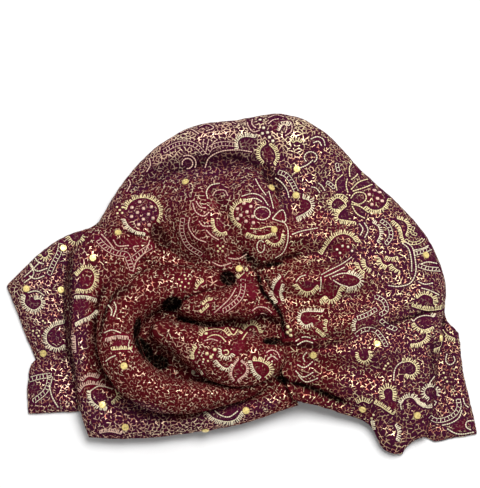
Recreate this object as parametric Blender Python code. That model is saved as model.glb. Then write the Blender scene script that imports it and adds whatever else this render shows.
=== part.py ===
"""Turban hat of burgundy brocade, lying on its back with the rosette up.

The crown points to +Y, the opening to -Y, and the underside lies on z = 0. The tables are in
millimetres, in the hat's own frame: x across the hat, y towards the crown, z above the surface
that it lies on. The meshes are in metres.
"""

from collections import namedtuple
from math import cos, pi, radians, sin

import bmesh
import bpy
import numpy as np
from mathutils import Matrix, Vector
from mathutils.bvhtree import BVHTree

MM = 0.001

# Driving dimensions, in millimetres
CLOTH = 2.0            # thickness of the crown's wall
BAND_CLOTH = 2.2       # thickness of the folded brow band
GAP = 0.3              # clearance between pieces that touch
BAND_LIFT = 0.9        # clearance under a band that follows the crown
LAP_LIFT = 1.6         # clearance where the right band laps over the left one
ROLL_LIFT = 1.0        # clearance under a roll that lies on the bands
LEAST_ROLL = 2.0       # thickness that a roll keeps where its neighbour lifts it
ROLL_MIDDLE = 0.42      # height of a roll's widest line, as a share of its own height
ROLL_TIP = 0.32         # how far a roll's end stands out, as a share of its width
STUD_WIDTH = 4.4
STUD_HEIGHT = 0.7
STUD_TOP = 0.86         # a stud's upper width, as a share of its lower one
STUD_DOME = 0.15        # how far its middle stands up, as a share of its height
CROWN_EDGE_ROUND = 17.0
BAND_EDGE_ROUND = 7.0
PANEL_EDGE_ROUND = 6.0
PANEL_FLAT = 12.0      # how far the back panel stays flat outside the crown
PANEL_RISE = 1.2       # how steeply it may rise past that
SOLE_INSET = 0.993     # size of the panel's flat underside, as a share of its outline
FIELD_REACH = 24.0     # how far each row of a height table reaches
STEEPEST = 1.6         # slope past which a band's clearance grows no further
SEAT_REACH = 1.6       # radius of the circle in which a roll looks for what it lies on
SHARP_ANGLE = 50.0     # edges steeper than this many degrees stay sharp
CENTRE = (-0.2, 0.9)   # middle of the hat's own box, which becomes the origin

# Resolution of the faceted solids
CROWN_SPOKES = 74
PANEL_SPOKES = 64
BAND_SPOKES = 54
ROLL_SIDES = 14
STUD_SIDES = 10
PATH_STEPS = 3         # sections of a roll for each of its stations
LOOP_STEPS = 16        # points of an outline's curve for each row of its table
FINE_LOOP = 4          # points of the outline used to measure from it, for each spoke
RING_STEPS = {
    "crown": (1.0, 0.985, 0.955, 0.91, 0.84, 0.76, 0.68, 0.60, 0.52, 0.44, 0.35, 0.25, 0.13),
    "panel": (1.0, 0.99, 0.965, 0.92, 0.85, 0.77, 0.68, 0.45),
    "band": (1.0, 0.975, 0.93, 0.86, 0.77, 0.66, 0.52, 0.34, 0.17),
}

Edge = namedtuple("Edge", "x y z corner")
Height = namedtuple("Height", "name x y z")
Fold = namedtuple("Fold", "name rise width points")
Puff = namedtuple("Puff", "name x y across along turn rise")
Station = namedtuple("Station", "x y top width")
Colour = namedtuple("Colour", "red green blue")

PLUM = Colour(0.075, 0.012, 0.030)
CRIMSON = Colour(0.140, 0.012, 0.026)
GOLD = Colour(0.85, 0.62, 0.24)

# Outlines, seen from above, clockwise from the left notch. A corner stays sharp.
CROWN_ARC = [
    Edge(-87.6, 34.7, 2.7, True),
    Edge(-73.6, 59.2, 2.7, False),
    Edge(-55.8, 80.2, 2.7, False),
    Edge(-33.0, 95.6, 2.7, False),
    Edge(-20.4, 98.7, 2.7, False),
    Edge(2.4, 101.1, 2.7, False),
    Edge(22.2, 104.7, 2.7, False),
    Edge(43.2, 98.7, 2.7, False),
    Edge(58.2, 86.5, 2.7, False),
    Edge(70.8, 71.3, 2.7, False),
    Edge(92.0, 51.8, 2.7, False),
    Edge(105.4, 37.6, 2.7, False),
    Edge(117.0, 20.1, 2.7, False),
    Edge(123.6, -0.6, 2.7, False),
    Edge(123.3, -11.0, 2.7, False),
    Edge(121.8, -20.7, 2.7, True),
]
CROWN_EDGE = CROWN_ARC + [
    Edge(117.0, -40.0, 3.0, False),
    Edge(111.0, -62.0, 4.5, False),
    Edge(104.0, -76.0, 8.0, True),
    Edge(88.0, -74.0, 11.0, False),
    Edge(70.0, -65.0, 14.0, False),
    Edge(52.0, -59.0, 15.0, False),
    Edge(32.0, -59.0, 14.0, False),
    Edge(8.0, -63.0, 13.0, False),
    Edge(-22.0, -70.0, 12.0, False),
    Edge(-52.0, -76.0, 10.5, False),
    Edge(-79.0, -78.0, 8.0, True),
    Edge(-86.0, -62.0, 4.0, False),
    Edge(-88.0, -30.0, 2.8, False),
    Edge(-89.0, 8.0, 2.7, False),
]
PANEL_EDGE = [Edge(row.x, row.y, 1.2, row.corner) for row in CROWN_ARC] + [
    Edge(124.8, -25.0, 1.2, False),
    Edge(131.0, -30.0, 1.2, True),
    Edge(131.8, -42.0, 1.2, False),
    Edge(134.9, -64.0, 1.2, False),
    Edge(138.6, -78.0, 1.2, False),
    Edge(141.0, -91.2, 1.2, True),
    Edge(126.0, -92.8, 1.2, False),
    Edge(112.0, -95.0, 1.2, False),
    Edge(92.0, -80.0, 1.2, False),
    Edge(66.0, -66.0, 1.2, False),
    Edge(38.0, -58.0, 1.2, False),
    Edge(8.0, -62.0, 1.2, False),
    Edge(-30.0, -70.0, 1.2, False),
    Edge(-70.0, -76.0, 1.2, False),
    Edge(-108.6, -78.0, 1.2, False),
    Edge(-126.8, -79.0, 1.2, True),
    Edge(-127.8, -62.0, 1.2, False),
    Edge(-126.4, -49.0, 1.2, True),
    Edge(-122.7, -46.3, 1.2, True),
    Edge(-127.8, -36.5, 1.2, False),
    Edge(-132.6, -21.9, 1.2, False),
    Edge(-139.4, -6.0, 1.2, False),
    Edge(-141.4, -1.8, 1.2, True),
    Edge(-133.2, 7.9, 1.2, False),
    Edge(-117.0, 22.5, 1.2, False),
    Edge(-103.2, 31.0, 1.2, False),
]
LEFT_BAND_EDGE = [
    Edge(-86.0, 32.5, 16.0, True),
    Edge(-69.6, 26.4, 23.0, False),
    Edge(-54.0, 24.0, 23.0, False),
    Edge(-44.0, 18.5, 22.0, False),
    Edge(-34.0, 11.0, 22.0, False),
    Edge(-20.0, 6.0, 23.0, False),
    Edge(-4.0, 2.0, 24.0, False),
    Edge(11.0, 3.5, 26.5, True),
    Edge(19.0, -12.0, 27.0, False),
    Edge(26.0, -38.0, 24.5, False),
    Edge(30.0, -56.0, 20.0, False),
    Edge(34.0, -74.8, 12.0, True),
    Edge(25.0, -77.4, 12.0, False),
    Edge(0.6, -85.6, 10.5, False),
    Edge(-32.4, -91.2, 9.0, False),
    Edge(-63.6, -94.2, 8.5, False),
    Edge(-90.0, -93.4, 8.0, True),
    Edge(-94.2, -82.0, 8.5, False),
    Edge(-98.4, -64.0, 9.5, False),
    Edge(-104.4, -36.0, 10.5, False),
    Edge(-105.8, -8.0, 10.5, False),
    Edge(-103.6, 15.0, 10.5, False),
    Edge(-94.0, 30.0, 11.0, False),
]
RIGHT_BAND_EDGE = [
    Edge(25.0, -38.5, 30.0, True),
    Edge(46.0, -38.0, 28.0, False),
    Edge(68.0, -35.0, 26.5, False),
    Edge(94.0, -26.0, 24.0, False),
    Edge(119.0, -20.0, 14.0, True),
    Edge(120.5, -34.0, 9.0, False),
    Edge(117.5, -52.0, 9.0, False),
    Edge(114.5, -72.0, 8.5, False),
    Edge(110.5, -92.0, 6.0, True),
    Edge(100.0, -96.5, 4.0, False),
    Edge(96.0, -102.8, 2.2, True),
    Edge(89.5, -102.8, 2.2, False),
    Edge(82.5, -98.0, 3.5, False),
    Edge(76.5, -85.5, 6.0, False),
    Edge(60.6, -79.5, 9.0, False),
    Edge(49.0, -76.0, 12.0, False),
    Edge(40.0, -73.8, 14.0, False),
    Edge(31.0, -72.4, 16.5, True),
    Edge(24.0, -56.0, 24.0, False),
]

# Heights of the cloth between its edges
CROWN_HEIGHTS = [
    Height("top rim", 15, 90, 25), Height("left rim", -50, 70, 22),
    Height("left shoulder", -72, 44, 20), Height("upper right rim", 62, 68, 25),
    Height("right", 90, 30, 25), Height("far right", 108, 0, 22),
    Height("arch", -10, 70, 20), Height("puff base", -8, 34, 25),
    Height("right of puff", 45, 25, 26), Height("knot", 28, -20, 26),
    Height("rosette seat", -35, -30, 19), Height("left side", -80, -20, 15),
    Height("left hem", -65, -75, 12), Height("middle hem", 0, -70, 16),
    Height("knot hem", 40, -60, 19), Height("right seat", 75, -45, 21),
    Height("right hem", 85, -75, 13), Height("right side", 110, -50, 14),
]
PANEL_HEIGHTS = [
    Height("nape", 0, 0, 2.0), Height("nape", 60, 30, 2.0), Height("nape", -55, 40, 2.0),
    Height("nape", 60, -50, 2.0), Height("nape", -55, -40, 2.0), Height("nape", 0, 80, 2.0),
    Height("nape", 95, -20, 2.0), Height("nape", -76, 0, 2.0), Height("nape", -80, -60, 2.0),
    Height("wing", -118, 2, 9.5), Height("wing point", -133, -4, 6.5),
    Height("wing foot", -112, -34, 7.5), Height("left brim", -112, -66, 5.5),
    Height("right brim", 130, -58, 5.5), Height("right brim foot", 131, -84, 5.5),
    Height("right brim top", 127, -34, 5.0),
]
LEFT_BAND_HEIGHTS = [
    Height("side fold top", -92, 22, 20), Height("side fold", -96, -10, 21),
    Height("side fold", -96, -38, 20), Height("side fold foot", -88, -66, 18),
    Height("shoulder", -68, 14, 24), Height("over rosette", -20, 0, 25),
    Height("knot", 16, -20, 27), Height("rosette seat", -35, -35, 22),
    Height("rosette seat", -60, -40, 21), Height("hem left", -70, -84, 15),
    Height("hem", -40, -82, 16), Height("hem middle", -5, -76, 18),
    Height("hem right", 25, -66, 20),
]
RIGHT_BAND_HEIGHTS = [
    Height("knot", 32, -47, 30), Height("upper edge", 70, -42, 28),
    Height("upper edge", 96, -36, 25), Height("drape", 60, -60, 27),
    Height("drape", 85, -62, 24), Height("hem", 58, -76, 13), Height("side", 108, -48, 20),
    Height("hem", 80, -80, 17), Height("front tip", 90, -97, 8), Height("foot", 102, -86, 14),
    Height("lower strip", 46, -71, 14),
]

# Folds and gathers that stand out of the heights, or sink into them
CROWN_FOLDS = [
    Fold("arch valley", -6.0, 9.0, ((-62, 55), (-47, 65), (-32, 69), (-17, 73), (0, 74), (14, 67),
                                    (24, 55), (29, 44))),
    Fold("rim ridge", 3.0, 8.0, ((-40, 84), (-10, 90), (20, 93), (45, 84))),
    Fold("left pit", -6.0, 6.5, ((-43, 28), (-39, 20), (-34, 14))),
    Fold("puff foot", -4.5, 6.0, ((-30, 10), (-12, 12), (2, 13), (10, 9))),
    Fold("knot valley", -4.5, 6.0, ((20, 8), (30, 12), (44, 15), (62, 20))),
    Fold("upper pleat", 4.0, 6.5, ((26, 20), (50, 24), (72, 22))),
    Fold("middle pleat", 3.5, 8.0, ((22, -2), (45, -1), (66, -1))),
    Fold("lower pleat valley", -2.5, 5.0, ((24, -14), (54, -13), (90, -11))),
    Fold("right rim pleat", 2.5, 7.0, ((40, 48), (60, 56), (78, 50))),
    Fold("right rim valley", -3.0, 6.5, ((39, 46), (44, 60), (46, 80))),
    Fold("right shoulder valley", -2.0, 6.0, ((50, 36), (80, 34), (108, 22))),
    Fold("ridge above the drape", 4.0, 6.5, ((32, -31), (60, -27), (92, -17), (112, -11))),
]
CROWN_PUFFS = [
    Puff("left lobe", -24, 36, 15, 24, 8, 11.0),
    Puff("right lobe", 9, 37, 17, 27, -6, 13.5),
]
PANEL_FOLDS = [
    Fold("wing foot crease", -3.5, 3.5, ((-124, -46), (-112, -50), (-98, -52))),
    Fold("wing ridge", 1.5, 6.0, ((-130, 0), (-112, 12), (-98, 24))),
]
LEFT_BAND_FOLDS = [
    Fold("valley round the rosette", -4.5, 5.0, ((-72, 2), (-83, -6), (-87, -24), (-85, -42),
                                                 (-78, -60), (-66, -72))),
    Fold("valley under the rosette", -4.0, 5.5, ((-66, -72), (-40, -77), (-10, -73), (12, -66))),
    Fold("side ridge", 2.0, 6.0, ((-94, 18), (-97, -8), (-96, -34), (-90, -58))),
    Fold("hem ridge", 2.0, 6.0, ((-80, -84), (-50, -86), (-15, -82), (18, -74))),
]
RIGHT_BAND_FOLDS = [
    Fold("first pleat", 2.5, 5.0, ((34, -44), (58, -47), (88, -44))),
    Fold("first valley", -3.0, 4.8, ((36, -50), (60, -55), (90, -56))),
    Fold("second pleat", 2.5, 5.0, ((38, -54), (60, -65), (84, -73))),
    Fold("second valley", -2.2, 5.0, ((40, -60), (58, -71), (74, -80))),
    Fold("shadowed fold", -3.2, 4.5, ((27, -60), (40, -65), (57, -73), (68, -78))),
    Fold("foot valley", -2.6, 5.0, ((74, -82), (86, -84), (98, -90))),
]

# The rolls of the rosette, station by station along each roll's ridge
ROSETTE_ROLL = [
    Station(-6, -9, 34, 10), Station(-17, -5.5, 39, 19), Station(-30, -5, 42, 23),
    Station(-43, -6.5, 44, 24.5), Station(-56.5, -11, 45, 25), Station(-67, -20, 45.5, 25.5),
    Station(-72, -33.5, 45.5, 26), Station(-70, -47, 45, 26), Station(-62.5, -59.5, 43.5, 25.5),
    Station(-49, -68.5, 41, 24), Station(-34.5, -71, 37.5, 21), Station(-20, -70.5, 34, 17),
    Station(-6, -68.5, 30.5, 13), Station(7, -65.5, 29, 9), Station(15, -62, 28.5, 6),
]
ROSETTE_LOWER_FOLD = [
    Station(-51, -33, 40, 13), Station(-46, -34, 42, 16), Station(-37, -37, 43, 20),
    Station(-24, -43, 44, 27), Station(-9.5, -48, 46, 34), Station(5, -49.5, 46, 33),
    Station(17, -47.5, 43, 24), Station(24.5, -45, 39, 12),
]
ROSETTE_UPPER_FOLD = [
    Station(-35, -20.5, 40, 7), Station(-30, -20.5, 42, 12), Station(-22, -19.5, 44, 16.5),
    Station(-9.5, -18.5, 46, 20.5), Station(2, -17, 46.5, 25), Station(11, -18, 45, 24.5),
    Station(18, -22.5, 41.5, 15), Station(23, -27, 38, 8),
]

# Foil studs, where they show on the cloth
STUD_PLACES = [
    (-88, 12), (-108, -5), (-128.5, -4.5), (-118, -43), (-81.5, -75), (-73, 26.5),
    (-107, 20.5), (-67.5, -55), (-33, 57.5), (33.5, 65.5), (33, 50), (18, 53), (19.5, 27),
    (80, -40), (42.5, -46.5), (72, -77), (104, -81), (118, -35.5), (3, -78.5), (-68, -88),
    (-21, -89), (110, 14), (-1, 5),
]


def smooth_loop(rows, count):
    """Return count points round a closed outline, as (x, y, z), with every corner kept."""
    points = np.array([(row.x, row.y, row.z) for row in rows])
    following = np.roll(points, -1, axis=0)
    before = np.roll(points, 1, axis=0)
    slope = (following - before) / 2.0
    corner = np.array([row.corner for row in rows])
    slope[corner] = 0.0
    next_slope = np.roll(slope, -1, axis=0)
    steps = np.linspace(0.0, 1.0, LOOP_STEPS + 1)[:-1, None]
    h00 = 2 * steps**3 - 3 * steps**2 + 1
    h10 = steps**3 - 2 * steps**2 + steps
    h01 = -2 * steps**3 + 3 * steps**2
    h11 = steps**3 - steps**2
    spans = [
        h00 * points[i] + h10 * slope[i] + h01 * following[i] + h11 * next_slope[i]
        for i in range(len(rows))
    ]
    dense = np.concatenate(spans)
    length = np.linalg.norm(np.roll(dense, -1, axis=0) - dense, axis=1)
    along = np.concatenate([[0.0], np.cumsum(length)])
    start = int(np.argmax(corner))
    marks = [along[LOOP_STEPS * i] for i in range(start, len(rows)) if corner[i]]
    marks.append(along[-1])
    closed = np.concatenate([dense, dense[:1]])
    stops = []
    share = count / (marks[-1] - marks[0])
    done = 0
    for first, last in zip(marks[:-1], marks[1:]):
        upto = count if last == marks[-1] else max(done + 1, round((last - marks[0]) * share))
        stops.append(np.linspace(first, last, upto - done + 1)[:-1])
        done = upto
    stops = np.concatenate(stops)
    return np.stack([np.interp(stops, along, closed[:, axis]) for axis in range(3)], axis=1)


def distance_to_path(points, path, closed=False):
    """Return each point's distance, seen from above, to a run of straight lines."""
    path = np.asarray(path, float)[:, :2]
    ends = np.roll(path, -1, axis=0) if closed else path[1:]
    starts = path if closed else path[:-1]
    nearest = np.full(len(points), np.inf)
    for start, end in zip(starts, ends):
        run = end - start
        share = ((points - start) @ run) / max(run @ run, 1e-9)
        foot = start + np.clip(share, 0.0, 1.0)[:, None] * run
        nearest = np.minimum(nearest, np.linalg.norm(points - foot, axis=1))
    return nearest


def inside(points, loop):
    """Return which points lie inside a closed loop, seen from above."""
    within = np.zeros(len(points), bool)
    for (x0, y0), (x1, y1) in zip(loop[:, :2], np.roll(loop[:, :2], -1, axis=0)):
        spans = (y0 > points[:, 1]) != (y1 > points[:, 1])
        crossing = x0 + (points[:, 1] - y0) * (x1 - x0) / (y1 - y0 if y1 != y0 else 1.0)
        within ^= spans & (points[:, 0] < crossing)
    return within


def field(points, heights, folds=(), puffs=()):
    """Return the height of a cloth at each point, from its tables of heights, folds and puffs."""
    places = np.array([(row.x, row.y) for row in heights], float)
    values = np.array([row.z for row in heights], float)
    apart = np.linalg.norm(points[:, None, :] - places[None], axis=2)
    nearness = np.exp(-((apart / FIELD_REACH) ** 2)) + 1e-6 / (1.0 + apart)
    height = nearness @ values / nearness.sum(axis=1)
    for fold in folds:
        away = distance_to_path(points, fold.points)
        height += fold.rise * np.exp(-((away / fold.width) ** 2))
    for puff in puffs:
        turn = radians(puff.turn)
        offset = points - np.array([puff.x, puff.y])
        across = offset[:, 0] * cos(turn) + offset[:, 1] * sin(turn)
        along = offset[:, 1] * cos(turn) - offset[:, 0] * sin(turn)
        reach = (across / puff.across) ** 2 + (along / puff.along) ** 2
        height += puff.rise * np.exp(-(reach**1.5))
    return height


def rounded(height, edge, away, reach):
    """Return heights that fall to the edge's own height in a quarter round."""
    share = np.clip(away / reach, 0.0, 1.0)
    return edge + (height - edge) * np.sqrt(1.0 - (1.0 - share) ** 2)


def crown_loop():
    """Return the crown's outline, finely divided."""
    return smooth_loop(CROWN_EDGE, FINE_LOOP * CROWN_SPOKES)


def left_band_loop():
    """Return the outline of the band round the rosette, finely divided."""
    return smooth_loop(LEFT_BAND_EDGE, FINE_LOOP * BAND_SPOKES)


def nearest_edge(points, loop):
    """Return the height of the outline at its nearest place to each point."""
    apart = np.linalg.norm(points[:, None, :] - loop[None, :, :2], axis=2)
    return loop[np.argmin(apart, axis=1), 2]


def crown_height(points):
    """Return the height of the crown's outer face."""
    loop = crown_loop()
    height = field(points, CROWN_HEIGHTS, CROWN_FOLDS, CROWN_PUFFS)
    away = distance_to_path(points, loop, closed=True)
    return rounded(height, nearest_edge(points, loop), away, CROWN_EDGE_ROUND)


def over(points, height_of, loop, clearance=BAND_LIFT):
    """Return the least height of a band's outer face over a piece, or 0 outside its loop."""
    step = 1.0
    here = height_of(points)
    east = height_of(points + np.array([step, 0.0]))
    north = height_of(points + np.array([0.0, step]))
    slope = np.hypot(east - here, north - here) / step
    lift = (BAND_CLOTH + clearance) * np.sqrt(1.0 + np.minimum(slope, STEEPEST) ** 2)
    return np.where(inside(points, loop), here + lift, 0.0)


def over_crown(points):
    """Return the lowest height of a band's outer face that keeps clear of the crown."""
    return over(points, crown_height, crown_loop())


def band_height(points, edge_rows, heights, folds):
    """Return the height of a band's outer face, rounded at its edge and clear of the crown."""
    loop = smooth_loop(edge_rows, FINE_LOOP * BAND_SPOKES)
    away = distance_to_path(points, loop, closed=True)
    height = field(points, heights, folds)
    height = rounded(height, nearest_edge(points, loop), away, BAND_EDGE_ROUND)
    return np.maximum(height, over_crown(points))


def left_band_height(points):
    """Return the height of the outer face of the band round the rosette."""
    return band_height(points, LEFT_BAND_EDGE, LEFT_BAND_HEIGHTS, LEFT_BAND_FOLDS)


def just_over_crown(points):
    """Return the least height of a band's inner face."""
    loop = crown_loop()
    near = inside(points, loop) | (distance_to_path(points, loop, closed=True) < 1.0)
    return np.where(near, crown_height(points) + 2 * GAP, 0.0)


def material(name, colour, roughness, metallic=0.0):
    """Return a plain material of one colour."""
    finish = bpy.data.materials.new(name)
    finish.use_nodes = True
    shader = finish.node_tree.nodes["Principled BSDF"]
    shader.inputs["Base Color"].default_value = (*colour, 1.0)
    shader.inputs["Roughness"].default_value = roughness
    shader.inputs["Metallic"].default_value = metallic
    return finish


def place(name, mesh, finish):
    """Return a new object of this mesh, in the scene, with its material."""
    mesh.materials.append(finish)
    obj = bpy.data.objects.new(name, mesh)
    bpy.context.scene.collection.objects.link(obj)
    return obj


def shade(mesh):
    """Shade a mesh smooth, with its sharp edges kept."""
    mesh.shade_smooth()
    mesh.set_sharp_from_angle(angle=radians(SHARP_ANGLE))


def spoke_points(rows, spokes, steps, centre):
    """Return the outline and the points of a web of rings and spokes inside it."""
    loop = smooth_loop(rows, spokes)
    middle = np.array(centre, float)
    rings = [middle + step * (loop[:, :2] - middle) for step in steps]
    return loop, np.concatenate(rings + [middle[None]])


def web_faces(work, verts, spokes, rings):
    """Add the faces of a web of rings and spokes, facing up."""
    for ring in range(rings - 1):
        for spoke in range(spokes):
            after = (spoke + 1) % spokes
            outer, inner = ring * spokes, (ring + 1) * spokes
            corners = (outer + spoke, inner + spoke, inner + after, outer + after)
            work.faces.new([verts[corner] for corner in corners])
    last = (rings - 1) * spokes
    for spoke in range(spokes):
        after = (spoke + 1) % spokes
        work.faces.new((verts[last + spoke], verts[-1], verts[last + after]))


def add_wall(work, outer, thickness, least_of):
    """Give an open sheet its wall: an inner face below it, and a rim all round.

    least_of takes the inner points and returns the least height that each may have.
    """
    work.normal_update()
    rim = [edge for edge in work.edges if edge.is_boundary]
    outside = np.array([vert.co for vert in outer]) / MM
    normals = np.array([vert.normal for vert in outer])
    inside_points = outside - thickness * normals
    inside_points[:, 2] = np.maximum(inside_points[:, 2], least_of(inside_points[:, :2]))
    inner = [work.verts.new(point * MM) for point in inside_points]
    partner = dict(zip(outer, inner))
    for face in list(work.faces):
        work.faces.new([partner[vert] for vert in reversed(face.verts)])
    for edge in rim:
        first, second = edge.verts
        work.faces.new((first, second, partner[second], partner[first]))
    bmesh.ops.recalc_face_normals(work, faces=work.faces)


def sheet(name, rows, spokes, steps, centre, height_of, thickness, least_of, finish):
    """Make a sheet of cloth whose outer face has the height that height_of gives."""
    points = spoke_points(rows, spokes, steps, centre)[1]
    heights = height_of(points)
    work = bmesh.new()
    verts = [work.verts.new((x * MM, y * MM, z * MM)) for (x, y), z in zip(points, heights)]
    web_faces(work, verts, spokes, len(steps))
    bmesh.ops.recalc_face_normals(work, faces=work.faces)
    if sum(face.normal.z for face in work.faces) < 0:
        bmesh.ops.reverse_faces(work, faces=work.faces)
    add_wall(work, verts, thickness, least_of)
    mesh = bpy.data.meshes.new(name)
    work.to_mesh(mesh)
    work.free()
    shade(mesh)
    return place(name, mesh, finish)


def make_back_panel(finish):
    """Make the nape side: flat underneath, with the wing and the brims raised at its edges."""
    steps = RING_STEPS["panel"]
    loop, points = spoke_points(PANEL_EDGE, PANEL_SPOKES, steps, (0.0, 0.0))
    edge = np.append(np.tile(loop[:, 2], len(steps)), CLOTH)
    heights = field(points, PANEL_HEIGHTS, PANEL_FOLDS)
    fine_loop = smooth_loop(PANEL_EDGE, FINE_LOOP * PANEL_SPOKES)
    away = distance_to_path(points, fine_loop, closed=True)
    heights = rounded(heights, edge, away, PANEL_EDGE_ROUND)
    clear = distance_to_path(points, crown_loop(), closed=True)
    clear[inside(points, crown_loop())] = 0.0
    limit = CLOTH + PANEL_RISE * np.maximum(clear - PANEL_FLAT, 0.0)
    heights = np.minimum(heights, limit)
    work = bmesh.new()
    verts = [work.verts.new((x * MM, y * MM, z * MM)) for (x, y), z in zip(points, heights)]
    web_faces(work, verts, PANEL_SPOKES, len(steps))
    sole = [work.verts.new((x * MM, y * MM, 0.0)) for x, y in SOLE_INSET * loop[:, :2]]
    for spoke in range(PANEL_SPOKES):
        after = (spoke + 1) % PANEL_SPOKES
        work.faces.new((verts[spoke], verts[after], sole[after], sole[spoke]))
    work.faces.new(sole)
    bmesh.ops.triangulate(work, faces=[face for face in work.faces if len(face.verts) > 4])
    bmesh.ops.recalc_face_normals(work, faces=work.faces)
    mesh = bpy.data.meshes.new("back_panel")
    work.to_mesh(mesh)
    work.free()
    shade(mesh)
    return place("back_panel", mesh, finish)


def make_crown(finish):
    """Make the dome and the gathered puff as one shell over the head hollow."""
    def least_of(points):
        return np.full(len(points), CLOTH + 2 * GAP)

    return sheet("crown", CROWN_EDGE, CROWN_SPOKES, RING_STEPS["crown"], (4.0, -4.0),
                 crown_height, CLOTH, least_of, finish)


def make_left_band(finish):
    """Make the band that runs round the rosette, with its side fold and its hem."""
    return sheet("brow_band_left", LEFT_BAND_EDGE, BAND_SPOKES, RING_STEPS["band"],
                 (-38.0, -36.0), left_band_height, BAND_CLOTH, just_over_crown, finish)


def make_right_band(finish):
    """Make the pleated drape from the knot to the right side and the front tip."""
    def height_of(points):
        height = band_height(points, RIGHT_BAND_EDGE, RIGHT_BAND_HEIGHTS, RIGHT_BAND_FOLDS)
        return np.maximum(height, over(points, left_band_height, left_band_loop(), LAP_LIFT))

    def least_of(points):
        near = inside(points, left_band_loop())
        lapped = np.where(near, left_band_height(points) + 2 * GAP, 0.0)
        return np.maximum(just_over_crown(points), lapped)

    return sheet("brow_band_right", RIGHT_BAND_EDGE, BAND_SPOKES, RING_STEPS["band"],
                 (82.0, -58.0), height_of, BAND_CLOTH, least_of, finish)


def tree_of(obj):
    """Return a search tree of an object as it stands, with its modifiers."""
    return BVHTree.FromObject(obj, bpy.context.evaluated_depsgraph_get())


def top_of(trees, x, y):
    """Return the height of the uppermost of these pieces above a place, or 0."""
    above = Vector((x, y, 1.0))
    hits = [tree.ray_cast(above, Vector((0.0, 0.0, -1.0)))[0] for tree in trees]
    return max([hit.z for hit in hits if hit is not None], default=0.0)


def seat_of(trees, x, y):
    """Return the highest support within a small circle round a place."""
    reach = SEAT_REACH * MM
    ring = [(x + reach * cos(a), y + reach * sin(a)) for a in np.linspace(0.0, 2 * pi, 9)[:-1]]
    return max(top_of(trees, *spot) for spot in ring + [(x, y)])


def smooth_path(stations):
    """Return the stations of a roll with a smooth curve drawn through them."""
    rows = np.array(stations, float)
    marks = np.linspace(0, len(rows) - 1, PATH_STEPS * (len(rows) - 1) + 1)
    before = np.concatenate([[2 * rows[0] - rows[1]], rows, [2 * rows[-1] - rows[-2]]])
    path = []
    for mark in marks:
        i = min(int(mark), len(rows) - 2)
        t = mark - i
        p0, p1, p2, p3 = before[i:i + 4]
        path.append(0.5 * (2 * p1 + (p2 - p0) * t + (2 * p0 - 5 * p1 + 4 * p2 - p3) * t * t
                           + (3 * p1 - p0 - 3 * p2 + p3) * t**3))
    return np.array(path)


def roll(name, stations, trees, finish):
    """Make a padded roll along its stations, laid on the pieces in trees.

    Its upper half is a round section of each station's width and top; its lower half follows
    what it lies on.
    """
    path = smooth_path(stations)
    heading = np.gradient(path[:, :2], axis=0)
    heading /= np.linalg.norm(heading, axis=1)[:, None]
    side = np.stack([-heading[:, 1], heading[:, 0]], axis=1)
    work = bmesh.new()
    rings = []
    for (x, y, top, width), across in zip(path, side):
        seat = seat_of(trees, x * MM, y * MM) / MM + ROLL_LIFT
        middle = seat + ROLL_MIDDLE * (top - seat)
        ring = []
        for step in range(ROLL_SIDES):
            angle = 2 * pi * step / ROLL_SIDES
            out = 0.5 * width * cos(angle)
            px, py = x + across[0] * out, y + across[1] * out
            rise = top - middle if sin(angle) > 0 else middle - seat
            z = middle + rise * sin(angle)
            floor = seat_of(trees, px * MM, py * MM) / MM + ROLL_LIFT
            z = max(z, floor + LEAST_ROLL * max(sin(angle), 0.0))
            ring.append(work.verts.new((px * MM, py * MM, z * MM)))
        rings.append(ring)
    for first, second in zip(rings[:-1], rings[1:]):
        for step in range(ROLL_SIDES):
            after = (step + 1) % ROLL_SIDES
            work.faces.new((first[step], first[after], second[after], second[step]))
    for ring, ahead in ((rings[0], -heading[0]), (rings[-1], heading[-1])):
        centre = sum((vert.co for vert in ring), Vector()) / len(ring)
        width = (ring[0].co - ring[ROLL_SIDES // 2].co).length
        tip = centre + Vector((ahead[0], ahead[1], 0.0)) * ROLL_TIP * width
        tip.z = max(tip.z, seat_of(trees, tip.x, tip.y) + ROLL_LIFT * MM)
        tip_vert = work.verts.new(tip)
        for step in range(ROLL_SIDES):
            after = (step + 1) % ROLL_SIDES
            work.faces.new((ring[step], ring[after], tip_vert))
    bmesh.ops.recalc_face_normals(work, faces=work.faces)
    bmesh.ops.triangulate(work, faces=work.faces)
    mesh = bpy.data.meshes.new(name)
    work.to_mesh(mesh)
    work.free()
    shade(mesh)
    return place(name, mesh, finish)


def stud_mesh(name):
    """Return the mesh of one foil disc, its underside at the origin, domed on top."""
    work = bmesh.new()
    radius = 0.5 * STUD_WIDTH * MM
    bmesh.ops.create_cone(work, cap_ends=True, cap_tris=False, segments=STUD_SIDES,
                          radius1=radius, radius2=STUD_TOP * radius, depth=STUD_HEIGHT * MM)
    bmesh.ops.translate(work, verts=work.verts, vec=(0.0, 0.0, 0.5 * STUD_HEIGHT * MM))
    upper = [face for face in work.faces if face.normal.z > 0.9]
    bmesh.ops.poke(work, faces=upper, offset=STUD_DOME * STUD_HEIGHT * MM)
    mesh = bpy.data.meshes.new(name)
    work.to_mesh(mesh)
    work.free()
    shade(mesh)
    return mesh


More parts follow.
